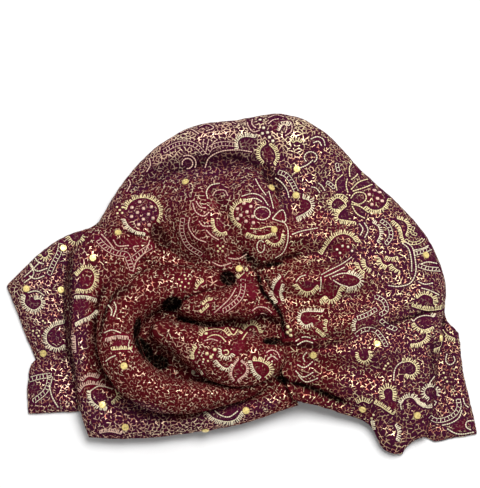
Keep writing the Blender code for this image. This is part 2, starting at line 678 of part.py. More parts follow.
def lay_stud(name, x, y, trees, finish):
    """Lay one foil disc flat on the cloth above (x, y), clear of it all round."""
    x, y = x * MM, y * MM
    radius = 0.5 * STUD_WIDTH * MM
    rim = [(x + radius * cos(a), y + radius * sin(a)) for a in np.linspace(0.0, 2 * pi, 13)[:-1]]
    touched = [Vector((px, py, top_of(trees, px, py))) for px, py in rim]
    centre = Vector((x, y, top_of(trees, x, y)))
    normal = sum(((touched[i] - centre).cross(touched[(i + 1) % 12] - centre) for i in range(12)),
                 Vector()).normalized()
    inner = [centre + 0.5 * (point - centre) for point in touched]
    inner = [Vector((p.x, p.y, top_of(trees, p.x, p.y))) for p in inner]
    proud = max((point - centre).dot(normal) for point in touched + inner + [centre])
    turn = normal.to_track_quat("Z", "Y").to_matrix().to_4x4()
    obj = place(name, stud_mesh(name), finish)
    obj.matrix_world = Matrix.Translation(centre + (proud + GAP * MM) * normal) @ turn
    return obj


def main():
    """Build the hat, each piece laid on those before it."""
    for obj in list(bpy.data.objects):
        bpy.data.objects.remove(obj)
    plum = material("plum_brocade", PLUM, 0.75)
    crimson = material("crimson_brocade", CRIMSON, 0.7)
    gold = material("gold_foil", GOLD, 0.3, 1.0)
    pieces = [make_back_panel(plum), make_crown(plum), make_left_band(plum)]
    pieces.append(make_right_band(plum))
    bpy.context.view_layer.update()
    trees = [tree_of(piece) for piece in pieces]
    for name, stations in (("rosette_roll", ROSETTE_ROLL),
                           ("rosette_lower_fold", ROSETTE_LOWER_FOLD),
                           ("rosette_upper_fold", ROSETTE_UPPER_FOLD)):
        piece = roll(name, stations, trees, crimson)
        bpy.context.view_layer.update()
        pieces.append(piece)
        trees.append(tree_of(piece))
    for number, (x, y) in enumerate(STUD_PLACES, start=1):
        pieces.append(lay_stud(f"foil_stud_{number:02d}", x, y, trees, gold))
    for piece in pieces:
        piece.location.x -= CENTRE[0] * MM
        piece.location.y -= CENTRE[1] * MM


main()
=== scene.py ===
"""A turban hat of plum brocade that lies on its back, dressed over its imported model.

Each cloth piece starts from its own node: the mesh is opened out, unwrapped, refined, folded
where the photograph shows a fold, tucked under the pieces that lap it, and given its wall.
Gold stitches are then laid on the finished cloth. Sizes are in metres, and places in the tables
are pixels of the photograph, across and down in turn.
"""

from __future__ import annotations

import logging
import math
from collections.abc import Iterator
from contextlib import contextmanager
from dataclasses import dataclass, field
from enum import Enum

import bmesh
import bpy
import numpy as np
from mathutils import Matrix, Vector, noise
from mathutils.bvhtree import BVHTree


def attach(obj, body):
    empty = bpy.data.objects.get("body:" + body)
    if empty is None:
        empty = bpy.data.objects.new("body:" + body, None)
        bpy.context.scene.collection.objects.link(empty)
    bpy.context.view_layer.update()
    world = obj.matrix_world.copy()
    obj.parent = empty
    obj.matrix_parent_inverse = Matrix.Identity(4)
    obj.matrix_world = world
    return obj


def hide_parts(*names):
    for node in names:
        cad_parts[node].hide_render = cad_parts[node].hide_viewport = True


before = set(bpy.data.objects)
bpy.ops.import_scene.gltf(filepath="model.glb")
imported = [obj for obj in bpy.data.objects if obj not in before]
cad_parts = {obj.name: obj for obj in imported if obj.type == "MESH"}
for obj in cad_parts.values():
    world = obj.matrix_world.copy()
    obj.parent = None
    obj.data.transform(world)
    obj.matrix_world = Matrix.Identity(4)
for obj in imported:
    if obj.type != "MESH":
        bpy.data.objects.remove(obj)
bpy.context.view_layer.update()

MM = 0.001
LOG = logging.getLogger("turban_hat")

Path = tuple[float, ...]
Pixel = tuple[float, float]
Colour = tuple[float, float, float, float]
Groups = dict[str, bpy.types.NodeTree]
Socket = bpy.types.NodeSocket


# ---------------------------------------------------------------- the photograph's view


@dataclass(frozen=True)
class PhotoView:
    """Where the photograph was taken from, and how its pixels meet the hat."""

    width: int = 480
    height: int = 488
    elevation: float = math.radians(80.0)
    distance: float = 1.2
    pixel: float = 0.0006
    target: tuple[float, float, float] = (-0.0003, 0.0213, 0.012)
    film: float = 36.0
    nearest: float = 0.01

    def axes(self) -> tuple[np.ndarray, np.ndarray, np.ndarray, np.ndarray]:
        """Gives the eye's place and the camera's right, up and back directions."""
        side, rise = math.cos(self.elevation), math.sin(self.elevation)
        back = np.array([0.0, -side, rise])
        eye = np.array(self.target) + self.distance * back
        return eye, np.array([1.0, 0.0, 0.0]), np.array([0.0, rise, side]), back

    def project(self, points: np.ndarray) -> np.ndarray:
        """Finds the pixel at which the photograph shows each point.

        Args:
            points: Points in the hat's frame, one a row.

        Returns:
            Pixels, one a row, from the photograph's upper left corner.
        """
        eye, right, up, back = self.axes()
        from_eye = points - eye
        scale = self.distance / self.pixel / -(from_eye @ back)
        return np.stack([self.width / 2 + scale * (from_eye @ right),
                         self.height / 2 - scale * (from_eye @ up)], axis=1)

    def ray(self, x: float, y: float) -> tuple[Vector, Vector]:
        """Gives the eye's place and the unit direction in which it sees a pixel.

        Args:
            x: The pixel's column.
            y: The pixel's row.

        Returns:
            The place and the direction.
        """
        eye, right, up, back = self.axes()
        scale = self.pixel / self.distance
        way = (x - self.width / 2) * scale * right - (y - self.height / 2) * scale * up - back
        return Vector(eye), Vector(way).normalized()

    def make_camera(self) -> None:
        """Adds the scene's camera at the photograph's place."""
        bpy.ops.object.camera_add(location=tuple(self.axes()[0]),
                                  rotation=(math.pi / 2 - self.elevation, 0.0, 0.0))
        camera = bpy.context.object
        camera.name = "photo_camera"
        camera.data.sensor_fit = "VERTICAL"
        camera.data.sensor_height = self.film
        camera.data.lens = self.film * self.distance / (self.pixel * self.height)
        camera.data.clip_start = self.nearest
        bpy.context.scene.camera = camera


VIEW = PhotoView()

# How a piece lies under its laps: the gap between them, and its least height over the table
LAP_GAP = 0.15 * MM
LEAST_HEIGHT = 0.2 * MM
# Shade painted in the hollows: how they are found, how deep is full painted shade, and how far a
# lap's painted shade reaches
FOLD_PASSES = 40
FOLD_DEPTH = 1.6 * MM
FOLD_SHADE = 0.6
LAP_REACH = 4.5 * MM
LAP_SHADE = 0.75
LAP_FADE = 1.5
# The cloth's colours: how much net a patch leaves off, where the thread turns golden, and how
# far round the rosette the cloth is crimson
PATCH_PLAIN = 0.72
GOLDEN_SIDE = (225.0, 345.0)
GOLDEN = 0.85
ROSETTE_MIDDLE = (205.0, 325.0)
ROSETTE_SHAPE = (1.2, 1.0)
CRIMSON_REACH = (200.0, 60.0)
# The mesh: what is merged, what counts as a corner or a face to divide, and a hem's crease
MERGE = 1e-5
FLAT_PAIR = math.radians(70.0)
INNER_FACE = 0.04
UNDER_FACE = -0.25
CORNER = math.radians(150.0)
HEM_CREASE = 0.8
FINE_FACE = (1.15 * MM) ** 2
EDGE_ON = 0.1
CLEAR = 2.0 * MM
# The wall: how many of its inner faces stay, its hem's bevel as a share of it, and the angle
# from which an edge is sharp
INNER_SHARE = 0.25
HEM_BEVEL = 0.25
SHARP = math.radians(60.0)
# The net of thread, as noise scales a metre: how it drifts, breaks, changes colour and glints
NET_DRIFT, NET_BREAKS, NET_TONES, NET_GLINTS = 260.0, 460.0, 90.0, 380.0
NET_SWAY = 0.0022
TWILL, TWILL_CLOUDS = 460.0, 70.0
FOIL_GRAIN = 900.0
# Seed of the unevenness of the gold stitches
STITCH_SEED = 5


# ---------------------------------------------------------------- curves and fields


def smoothstep(low: float, high: float, value: np.ndarray) -> np.ndarray:
    """Rises smoothly from 0 at low to 1 at high.

    Args:
        low: Value at which the step starts.
        high: Value at which it ends.
        value: Values to map.

    Returns:
        The mapped values.
    """
    share = np.clip((value - low) / (high - low), 0.0, 1.0)
    return share * share * (3.0 - 2.0 * share)


def pixels(path: Path) -> np.ndarray:
    """Gives a path's pixels, one a row."""
    return np.array(path, float).reshape(-1, 2)


def smooth_line(path: Path, steps: int = 5) -> np.ndarray:
    """Runs a smooth curve through a path's pixels.

    Args:
        path: The path.
        steps: Points of the curve between two pixels.

    Returns:
        The curve's points, one a row.
    """
    points = pixels(path)
    padded = np.vstack([2 * points[0] - points[1], points, 2 * points[-1] - points[-2]])
    line = [0.5 * (2 * start + (end - before) * t
                   + (2 * before - 5 * start + 4 * end - after) * t**2
                   + (3 * start - before - 3 * end + after) * t**3)
            for before, start, end, after in zip(padded, padded[1:], padded[2:], padded[3:])
            for t in (step / steps for step in range(steps))]
    return np.array([*line, points[-1]])


def reach_of_line(at: np.ndarray, line: np.ndarray) -> tuple[np.ndarray, np.ndarray]:
    """Measures from each pixel to a line.

    Args:
        at: Pixels, one a row.
        line: The line's points, one a row.

    Returns:
        Each pixel's distance from the line, and where its foot lies, as a share of the line.
    """
    lengths = np.linalg.norm(np.diff(line, axis=0), axis=1)
    best, share = np.full(len(at), np.inf), np.zeros(len(at))
    walked = 0.0
    for start, end, length in zip(line[:-1], line[1:], lengths):
        way = (end - start) / max(length, 1e-9)
        foot = np.clip((at - start) @ way, 0.0, length)
        away = np.linalg.norm(at - start - foot[:, None] * way, axis=1)
        nearer = away < best
        best[nearer] = away[nearer]
        share[nearer] = (walked + foot[nearer]) / lengths.sum()
        walked += length
    return best, share


def ways_of(line: np.ndarray) -> np.ndarray:
    """Gives a line's unit direction at each of its points."""
    way = np.gradient(line, axis=0)
    return way / np.maximum(np.linalg.norm(way, axis=1), 1e-9)[:, None]


def beside(line: np.ndarray, away: float) -> np.ndarray:
    """Moves a line sideways by some pixels, to the left of its way."""
    return line + away * (ways_of(line)[:, ::-1] * (1.0, -1.0))


def in_box(points: np.ndarray, corners: np.ndarray, margin: float = 0.0) -> np.ndarray:
    """Tells which points lie in the box round some others.

    Args:
        points: The points, one a row.
        corners: The others, one a row.
        margin: How much wider the box is on each side.

    Returns:
        Whether each point does.
    """
    low, high = corners.min(axis=0) - margin, corners.max(axis=0) + margin
    return np.all((points > low) & (points < high), axis=1)


@dataclass(frozen=True)
class Fold:
    """One crease or ridge of the cloth, drawn along the photograph's pixels.

    Attributes:
        rise: Its height; below nought it presses the cloth in.
        width: How far it reaches to each side.
        shade: How much painted shade it adds, from 0 to 1.
        path: Its way.
        fade: Share of its length over which each end dies away.
        least: What is left of it at its ends.
    """

    rise: float
    width: float
    shade: float
    path: Path
    fade: float = 0.22
    least: float = 0.15

    def press(self, at: np.ndarray) -> tuple[np.ndarray, np.ndarray]:
        """Works out what the fold does at each pixel.

        Args:
            at: Pixels, one a row.

        Returns:
            The rise in metres and the shade at each pixel.
        """
        line, width = smooth_line(self.path), self.width / VIEW.pixel
        near = in_box(at, line, 3 * width)
        away, share = reach_of_line(at[near], line)
        ends = smoothstep(0.0, self.fade, share) * smoothstep(0.0, self.fade, 1.0 - share)
        strength = np.zeros(len(at))
        strength[near] = np.exp(-((away / width) ** 2)) * (self.least + (1 - self.least) * ends)
        return self.rise * strength, self.shade * strength


def folds(*rows: Path) -> tuple[Fold, ...]:
    """Reads folds from rows of rise and width in millimetres, shade, and then the way."""
    return tuple(Fold(rise * MM, width * MM, shade, tuple(path))
                 for rise, width, shade, *path in rows)


@dataclass(frozen=True)
class Nudge:
    """Pulls the cloth round one pixel a little way along the table.

    Attributes:
        at: The pixel.
        reach: How far round it the cloth follows, in pixels.
        by: How far to pull, in pixels to the right and down.
    """

    at: Pixel
    reach: float
    by: Pixel

    def pull(self, points: np.ndarray) -> np.ndarray:
        """Moves the points round the pixel.

        Args:
            points: Points in the hat's frame, one a row.

        Returns:
            The moved points.
        """
        away = np.linalg.norm(VIEW.project(points) - self.at, axis=1)
        share = smoothstep(self.reach, 0.0, away)[:, None]
        return points + share * VIEW.pixel * np.array((self.by[0], -self.by[1], 0.0))


# ---------------------------------------------------------------- Blender helpers


def choose_only(obj: bpy.types.Object) -> None:
    """Makes one object the only selected and active one.

    Args:
        obj: The object.
    """
    bpy.ops.object.select_all(action="DESELECT")
    obj.select_set(True)
    bpy.context.view_layer.objects.active = obj


@contextmanager
def editing(obj: bpy.types.Object, chosen: list[bool] | np.ndarray | None = None,
            kind: str = "FACE") -> Iterator[None]:
    """Opens a piece in edit mode, with all or some of it selected, and closes it again.

    Args:
        obj: The piece.
        chosen: Whether each face or vertex is selected; all of them where it is none.
        kind: What is chosen, FACE or VERT.

    Yields:
        Nothing.
    """
    choose_only(obj)
    bpy.ops.object.mode_set(mode="EDIT")
    bpy.ops.mesh.select_mode(type=kind)
    bpy.ops.mesh.select_all(action="SELECT" if chosen is None else "DESELECT")
    if chosen is not None:
        bpy.ops.object.mode_set(mode="OBJECT")
        parts = obj.data.polygons if kind == "FACE" else obj.data.vertices
        parts.foreach_set("select", np.array(chosen, bool))
        bpy.ops.object.mode_set(mode="EDIT")
    yield
    bpy.ops.object.mode_set(mode="OBJECT")


def apply_modifier(obj: bpy.types.Object, kind: str, **settings: object) -> None:
    """Adds a modifier to a piece and applies it.

    Args:
        obj: The piece.
        kind: The modifier's type.
        **settings: Its settings.
    """
    choose_only(obj)
    modifier = obj.modifiers.new(kind.title(), kind)
    for name, value in settings.items():
        setattr(modifier, name, value)
    bpy.ops.object.modifier_apply(modifier=modifier.name)


def add_object(name: str, mesh: bpy.types.Mesh) -> bpy.types.Object:
    """Adds an object that shows a mesh.

    Args:
        name: Its name.
        mesh: The mesh.

    Returns:
        The object.
    """
    obj = bpy.data.objects.new(name, mesh)
    bpy.context.scene.collection.objects.link(obj)
    return obj


def vectors_of(parts: bpy.types.bpy_prop_collection, key: str) -> np.ndarray:
    """Reads a vector of each part of a mesh, one a row.

    Args:
        parts: The mesh's vertices or their normals.
        key: The vector's name.

    Returns:
        The vectors.
    """
    flat = np.empty(len(parts) * 3)
    parts.foreach_get(key, flat)
    return flat.reshape(-1, 3)


def points_of(mesh: bpy.types.Mesh) -> np.ndarray:
    """Gives a mesh's vertices, one a row."""
    return vectors_of(mesh.vertices, "co")


def move_points(mesh: bpy.types.Mesh, points: np.ndarray) -> None:
    """Puts a mesh's vertices at new places, one a row."""
    mesh.vertices.foreach_set("co", points.astype(np.float32).ravel())
    mesh.update()


def triangles_in(mesh: bpy.types.Mesh) -> int:
    """Counts a mesh's triangles."""
    return sum(len(face.vertices) - 2 for face in mesh.polygons)


def tree_of(obj: bpy.types.Object) -> BVHTree:
    """Builds the search tree of a piece's mesh."""
    return BVHTree.FromPolygons([v.co for v in obj.data.vertices],
                                [tuple(p.vertices) for p in obj.data.polygons])


def paint(mesh: bpy.types.Mesh, name: str, values: np.ndarray) -> None:
    """Stores one number a vertex for the materials to read.

    Args:
        mesh: The mesh.
        name: The attribute's name.
        values: A number for each vertex.
    """
    attribute = mesh.attributes.new(name, "FLOAT", "POINT")
    attribute.data.foreach_set("value", np.clip(values, 0.0, 1.0).astype(np.float32))


# ---------------------------------------------------------------- finishes


class Desk:
    """Places and joins the nodes of one node tree."""

    def __init__(self, tree: bpy.types.NodeTree) -> None:
        """Takes the tree to work on."""
        self.tree = tree

    def feed(self, node: bpy.types.Node, inputs: dict) -> bpy.types.Node:
        """Fills a node's inputs.

        Args:
            node: The node.
            inputs: What each input takes: an output to join, or a value to set.

        Returns:
            The node.
        """
        for name, value in inputs.items():
            if isinstance(value, Socket):
                self.tree.links.new(value, node.inputs[name])
            else:
                node.inputs[name].default_value = value
        return node

    def add(self, kind: str, inputs: dict, **settings: object) -> bpy.types.Node:
        """Places a node.

        Args:
            kind: The node's type.
            inputs: What its inputs take.
            **settings: The node's own settings.

        Returns:
            The node.
        """
        node = self.tree.nodes.new(f"ShaderNode{kind}")
        for name, value in settings.items():
            setattr(node, name, value)
        return self.feed(node, inputs)

    def math(self, operation: str, first: object, second: object) -> Socket:
        """Works out one number from two."""
        return self.add("Math", {0: first, 1: second}, operation=operation).outputs[0]

    def mix(self, share: object, first: object, second: object) -> Socket:
        """Mixes two colours, by how much of the second shows."""
        return self.add("Mix", {0: share, 6: first, 7: second}, data_type="RGBA").outputs[2]

    def ramp(self, value: object, low: float, high: float, start: float = 0.0,
             end: float = 1.0) -> Socket:
        """Steps smoothly from one value to another.

        Args:
            value: The value or output to map.
            low: Where the step starts.
            high: Where it ends.
            start: What it gives at low.
            end: What it gives at high.

        Returns:
            The mapped value.
        """
        return self.add("MapRange", {0: value, 1: low, 2: high, 3: start, 4: end},
                        interpolation_type="SMOOTHSTEP").outputs[0]

    def noise(self, place: Socket, scale: float, detail: float,
              space: str = "2D") -> bpy.types.Node:
        """Adds soft noise.

        Args:
            place: Where it is read.
            scale: Its scale.
            detail: How many finer layers it has.
            space: 2D on the cloth's flat layout, 3D on the object.

        Returns:
            The node.
        """
        return self.add("TexNoise", {"Vector": place, "Scale": scale, "Detail": detail},
                        noise_dimensions=space)

    def bump(self, height: Socket, strength: float, depth: float) -> Socket:
        """Turns a height of some depth into a normal."""
        return self.add("Bump", {"Height": height, "Strength": strength,
                                 "Distance": depth}).outputs["Normal"]

    def attribute(self, name: str) -> Socket:
        """Reads one of the numbers painted on a piece."""
        return self.add("Attribute", {}, attribute_name=name).outputs["Fac"]


def new_group(name: str, inputs: tuple[str, ...],
              outputs: tuple[str, ...]) -> tuple[Desk, dict, bpy.types.Node]:
    """Starts a shader node group that reads a place and some numbers.

    Args:
        name: The group's name.
        inputs: Names of the numbers that it takes.
        outputs: Names of the numbers that it gives.

    Returns:
        Its desk, what it is given, and its output node.
    """
    tree = bpy.data.node_groups.new(name, "ShaderNodeTree")
    tree.interface.new_socket("Vector", in_out="INPUT", socket_type="NodeSocketVector")
    for side, labels in (("INPUT", inputs), ("OUTPUT", outputs)):
        for label in labels:
            tree.interface.new_socket(label, in_out=side, socket_type="NodeSocketFloat")
    given = tree.nodes.new("NodeGroupInput").outputs
    return Desk(tree), given, tree.nodes.new("NodeGroupOutput")


def gold_net_group() -> bpy.types.NodeTree:
    """Builds the crackled net of metallic thread that covers the cloth.

    Returns:
        The node group. It gives how much thread shows, its colour share, and where it glints.
    """
    desk, given, leave = new_group("Gold Net", ("Cells", "Thread Width", "Gaps"),
                                   ("Thread", "Tone", "Glint"))
    place = given["Vector"]
    drift = desk.add("VectorMath", {0: desk.noise(place, NET_DRIFT, 1.0).outputs["Color"],
                                    1: (0.5, 0.5, 0.5)}, operation="SUBTRACT")
    drift = desk.add("VectorMath", {0: drift.outputs[0], "Scale": NET_SWAY}, operation="SCALE")
    moved = desk.add("VectorMath", {0: place, 1: drift.outputs[0]})
    cells = desk.add("TexVoronoi", {"Vector": moved.outputs[0], "Scale": given["Cells"],
                                    "Randomness": 1.0},
                     feature="DISTANCE_TO_EDGE", voronoi_dimensions="2D")
    across = desk.math("DIVIDE", cells.outputs["Distance"], given["Thread Width"])
    breaks = desk.noise(place, NET_BREAKS, 2.0).outputs["Fac"]
    kept = desk.ramp(desk.math("SUBTRACT", breaks, given["Gaps"]), -0.06, 0.05)
    desk.feed(leave, {
        "Thread": desk.math("MULTIPLY", desk.ramp(across, 0.75, 1.25, 1.0, 0.0), kept),
        "Tone": desk.ramp(desk.noise(place, NET_TONES, 3.0).outputs["Fac"], 0.35, 0.65),
        "Glint": desk.ramp(desk.noise(place, NET_GLINTS, 1.0).outputs["Fac"], 0.42, 0.60)})
    return desk.tree


def weave_group() -> bpy.types.NodeTree:
    """Builds the fine twill of the ground cloth.

    Returns:
        The node group. It gives the weave's height and a soft tone that wanders.
    """
    desk, given, leave = new_group("Brocade Weave", (), ("Height", "Tone"))
    threads = [desk.add("TexWave", {"Vector": given["Vector"], "Scale": TWILL,
                                    "Distortion": 0.6}, bands_direction=way).outputs["Fac"]
               for way in ("DIAGONAL", "X")]
    clouds = desk.noise(given["Vector"], TWILL_CLOUDS, 4.0).outputs["Fac"]
    desk.feed(leave, {"Height": desk.math("MULTIPLY", *threads),
                      "Tone": desk.ramp(clouds, 0.3, 0.7)})
    return desk.tree


def wear_group() -> bpy.types.NodeTree:
    """Builds the dents and tarnish of gold metal.

    Returns:
        The node group.
    """
    desk, given, leave = new_group("Gold Wear", (), ("Tarnish", "Dents"))
    spots = desk.noise(given["Vector"], FOIL_GRAIN, 2.0, "3D").outputs["Fac"]
    desk.feed(leave, {"Tarnish": desk.ramp(spots, 0.42, 0.68), "Dents": spots})
    return desk.tree


@dataclass(frozen=True)
class Palette:
    """Linear colours of the cloth and its threads, and of the shade painted on it."""

    plum: Colour = (0.055, 0.006, 0.026, 1.0)
    crimson: Colour = (0.120, 0.006, 0.016, 1.0)
    under_plum: Colour = (0.054, 0.007, 0.024, 1.0)
    under_crimson: Colour = (0.076, 0.005, 0.008, 1.0)
    # The near-black of the painted shade in folds, hollows and beside laps
    painted_shade: Colour = (0.003, 0.001, 0.001, 1.0)
    dim_thread: Colour = (0.38, 0.135, 0.095, 1.0)
    rose_thread: Colour = (0.84, 0.52, 0.37, 1.0)
    cream_thread: Colour = (0.98, 0.76, 0.52, 1.0)
    tan_thread: Colour = (0.66, 0.44, 0.25, 1.0)
    gold_thread: Colour = (0.92, 0.74, 0.42, 1.0)
    pale_gold: Colour = (1.00, 0.88, 0.62, 1.0)
    yellow_gold: Colour = (1.00, 0.84, 0.46, 1.0)
    rose_gold: Colour = (0.90, 0.60, 0.46, 1.0)
    foil: Colour = (0.97, 0.76, 0.28, 1.0)
    white: Colour = (1.0, 1.0, 1.0, 1.0)
    table: Colour = (0.95, 0.95, 0.95, 1.0)


PALETTE = Palette()


def new_material(name: str) -> tuple[bpy.types.Material, Desk, bpy.types.Node]:
    """Starts a material.

    Args:
        name: Its name.

    Returns:
        The material, its desk and its shader.
    """
    material = bpy.data.materials.new(name)
    material.use_nodes = True
    return material, Desk(material.node_tree), material.node_tree.nodes["Principled BSDF"]


@dataclass(frozen=True)
class BrocadeFinish:
    """Plum and crimson cloth under a net of metallic thread.

    Attributes:
        cells: The net's cells, as a scale a metre.
        thread_width: Width of its thread, as a share of a cell.
        gaps: How much of it is broken off.
        gleam_gaps: How much less is broken off where a highlight is painted.
        gleam_width: How much wider it is there.
    """

    name: str
    cells: float
    thread_width: float
    gaps: float
    gleam_gaps: float = 0.08
    gleam_width: float = 1.22
    metal: float = 0.65
    cloth_roughness: float = 0.62
    thread_roughness: float = 0.34
    weave_relief: float = 0.25
    relief: float = 0.25 * MM
    bump: float = 0.8
    # How far the painted shade darkens the threads, as a share of the ground's
    painted_shade_on_threads: float = 0.93

    def make(self, groups: Groups) -> bpy.types.Material:
        """Builds the material.

        Args:
            groups: The shared node groups by name.

        Returns:
            The material.
        """
        material, desk, shader = new_material(self.name)
        uv = desk.add("UVMap", {}, uv_map="UVMap").outputs["UV"]
        # Painted highlight: where it is painted, the net is denser, wider and brighter
        gleam = desk.attribute("gleam")
        net = desk.add("Group", {
            "Vector": uv, "Cells": self.cells,
            "Gaps": desk.ramp(gleam, 0.0, 1.0, self.gaps, self.gaps - self.gleam_gaps),
            "Thread Width": desk.ramp(gleam, 0.0, 1.0, self.thread_width,
                                      self.gleam_width * self.thread_width),
        }, node_tree=groups["net"]).outputs
        weave = desk.add("Group", {"Vector": uv}, node_tree=groups["weave"]).outputs
        warmth = desk.ramp(desk.math("ADD", desk.attribute("warm"),
                                     desk.math("MULTIPLY", weave["Tone"], 0.3)), 0.15, 1.1)
        cloth = desk.mix(warmth, PALETTE.plum, PALETTE.crimson)
        shadowed = desk.mix(warmth, PALETTE.under_plum, PALETTE.under_crimson)
        golden = desk.mix(net["Tone"], PALETTE.tan_thread, PALETTE.gold_thread)
        bright = desk.mix(net["Tone"], PALETTE.rose_thread, PALETTE.cream_thread)
        bright = desk.mix(desk.attribute("golden"), bright, golden)
        thread = desk.mix(desk.math("ADD", net["Glint"], gleam), PALETTE.dim_thread, bright)
        netted = desk.ramp(desk.attribute("plain"), 0.1, 0.95, 1.0, 0.0)
        shown = desk.math("MULTIPLY", net["Thread"], netted)
        # Painted shade: the ground goes near-black with it, the threads nearly as far, and the
        # metal is taken off
        painted_shade = desk.ramp(desk.attribute("painted_shade"), 0.0, 0.8)
        ground = desk.mix(painted_shade, desk.mix(netted, cloth, shadowed), PALETTE.painted_shade)
        thread = desk.mix(desk.math("MULTIPLY", painted_shade, self.painted_shade_on_threads), thread, PALETTE.painted_shade)
        height = desk.math("ADD", shown,
                           desk.math("MULTIPLY", weave["Height"], self.weave_relief))
        desk.feed(shader, {
            "Base Color": desk.mix(shown, ground, thread),
            "Metallic": desk.math("MULTIPLY", desk.math("MULTIPLY", shown, self.metal),
                                  desk.math("SUBTRACT", 1.0, painted_shade)),
            "Roughness": desk.ramp(shown, 0.0, 1.0, self.cloth_roughness,
                                   self.thread_roughness),
            "Normal": desk.bump(height, self.bump, self.relief),
            "Specular IOR Level": 0.0})
        return material


@dataclass(frozen=True)
class FoilFinish:
    """Gold metal with small dents and darker tarnish."""

    name: str
    colour: Colour
    roughness: float = 0.28
    dents: float = 0.12 * MM
    metal: float = 0.3
    tarnished: float = 0.55
    dull: float = 0.2
    bump: float = 0.6

    def make(self, groups: Groups) -> bpy.types.Material:
        """Builds the material.

        Args:
            groups: The shared node groups by name.

        Returns:
            The material.
        """
        material, desk, shader = new_material(self.name)
        place = desk.add("TexCoord", {}).outputs["Object"]
        wear = desk.add("Group", {"Vector": place}, node_tree=groups["wear"]).outputs
        dark = tuple(self.tarnished * c for c in self.colour[:3]) + (1.0,)
        desk.feed(shader, {
            "Base Color": desk.mix(wear["Tarnish"], self.colour, dark),
            "Roughness": desk.ramp(wear["Tarnish"], 0.0, 1.0, self.roughness,
                                   self.roughness + self.dull),
            "Normal": desk.bump(wear["Dents"], self.bump, self.dents),
            "Metallic": self.metal})
        return material


# ---------------------------------------------------------------- the brocade's pattern, in pixels


def ring(x: float, y: float, across: float, down: float, start: float, end: float) -> Path:
    """Gives an oval's pixels, about 20 degrees apart.

    Args:
        x: The oval's middle, across.
        y: The oval's middle, down.
        across: Its half width.
        down: Its half height.
        start: Angle of the first pixel in degrees, clockwise from the right.
        end: Angle of the last one.

    Returns:
        The path.
    """
    angles = np.radians(np.linspace(start, end, max(3, int(abs(end - start) / 20.0) + 1)))
    return tuple(float(v) for a in angles
                 for v in (x + across * math.cos(a), y + down * math.sin(a)))


@dataclass(frozen=True)
class Working:
    """How a line of the pattern is worked.

    Attributes:
        bare: Half width of the strip round it that has no net, in pixels.
        more: Share of the reach that is added to it.
        cord: Width of the cord's stitches, as a share of the usual one.
        reach: Length of its teeth or rungs, as a share of the motif's reach.
        apart: Distance between them, as a share of the usual one.
        wide: Their width, as a share of the usual one.
    """

    bare: float
    more: float = 0.0
    cord: float = 0.0
    reach: float = 0.0
    apart: float = 0.0
    wide: float = 0.0


class Thread(Enum):
    """A cord, a cord with teeth on one side, two with rungs between, or round stitches."""

    LINE = Working(1.4, cord=1.3)
    COMB = Working(0.8, 0.4, 1.1, 1.25, 0.72, 1.15)
    LADDER = Working(1.0, 0.5, 0.85, 0.84, 1.45, 0.75)
    DOTS = Working(1.0, 1.0)


class Tone(Enum):
    """The metal thread's colours."""

    PALE = 0
    YELLOW = 1
    ROSE = 2


@dataclass(frozen=True)
class Motif:
    """One line of the pattern.

    The reach is the teeth's length, the ladder's width or the dot's radius, in pixels. Teeth
    stand to the left of the way that the path runs, or to the right where it is below nought.
    """

    thread: Thread
    tone: Tone
    reach: float
    path: Path
    fade: float = 1.2

    def bare(self, at: np.ndarray) -> np.ndarray:
        """Works out where the net is left off round the line.

        Args:
            at: Pixels, one a row.

        Returns:
            1 beside the line, falling to 0 past its margin.
        """
        dots = self.thread is Thread.DOTS
        line = pixels(self.path) if dots else smooth_line(self.path)
        wide = self.thread.value.bare + self.thread.value.more * abs(self.reach)
        near = in_box(at, line, wide + 3)
        away = (np.min([np.linalg.norm(at[near] - dot, axis=1) for dot in line], axis=0)
                if dots else reach_of_line(at[near], line)[0])
        share = np.zeros(len(at))
        share[near] = smoothstep(wide + self.fade, wide, away)
        return share


@dataclass(frozen=True)
class Area:
    """An oval of the photograph in which the cloth differs from what lies round it.

    Attributes:
        inner: Share of the oval that it fills fully.
        outer: Where it ends, as a share of the oval.
        turn: How far it is turned clockwise, in degrees.
    """

    inner: float
    outer: float
    x: float
    y: float
    across: float
    down: float
    turn: float
    strength: float
    warm: float = 0.0

    def share(self, at: np.ndarray) -> np.ndarray:
        """Works out how much of the area lies at each pixel.

        Args:
            at: Pixels, one a row.

        Returns:
            1 inside, falling to 0 past the edge.
        """
        side, rise = math.cos(math.radians(self.turn)), math.sin(math.radians(self.turn))
        offset = at - (self.x, self.y)
        along, over = offset @ np.array((side, rise)), offset @ np.array((-rise, side))
        return smoothstep(self.outer, self.inner, np.hypot(along / self.across, over / self.down))


def areas(inner: float, outer: float, *rows: Path) -> tuple[Area, ...]:
    """Reads ovals from rows of x, y, half width, half height, turn, strength and warmth."""
    return tuple(Area(inner, outer, *row) for row in rows)


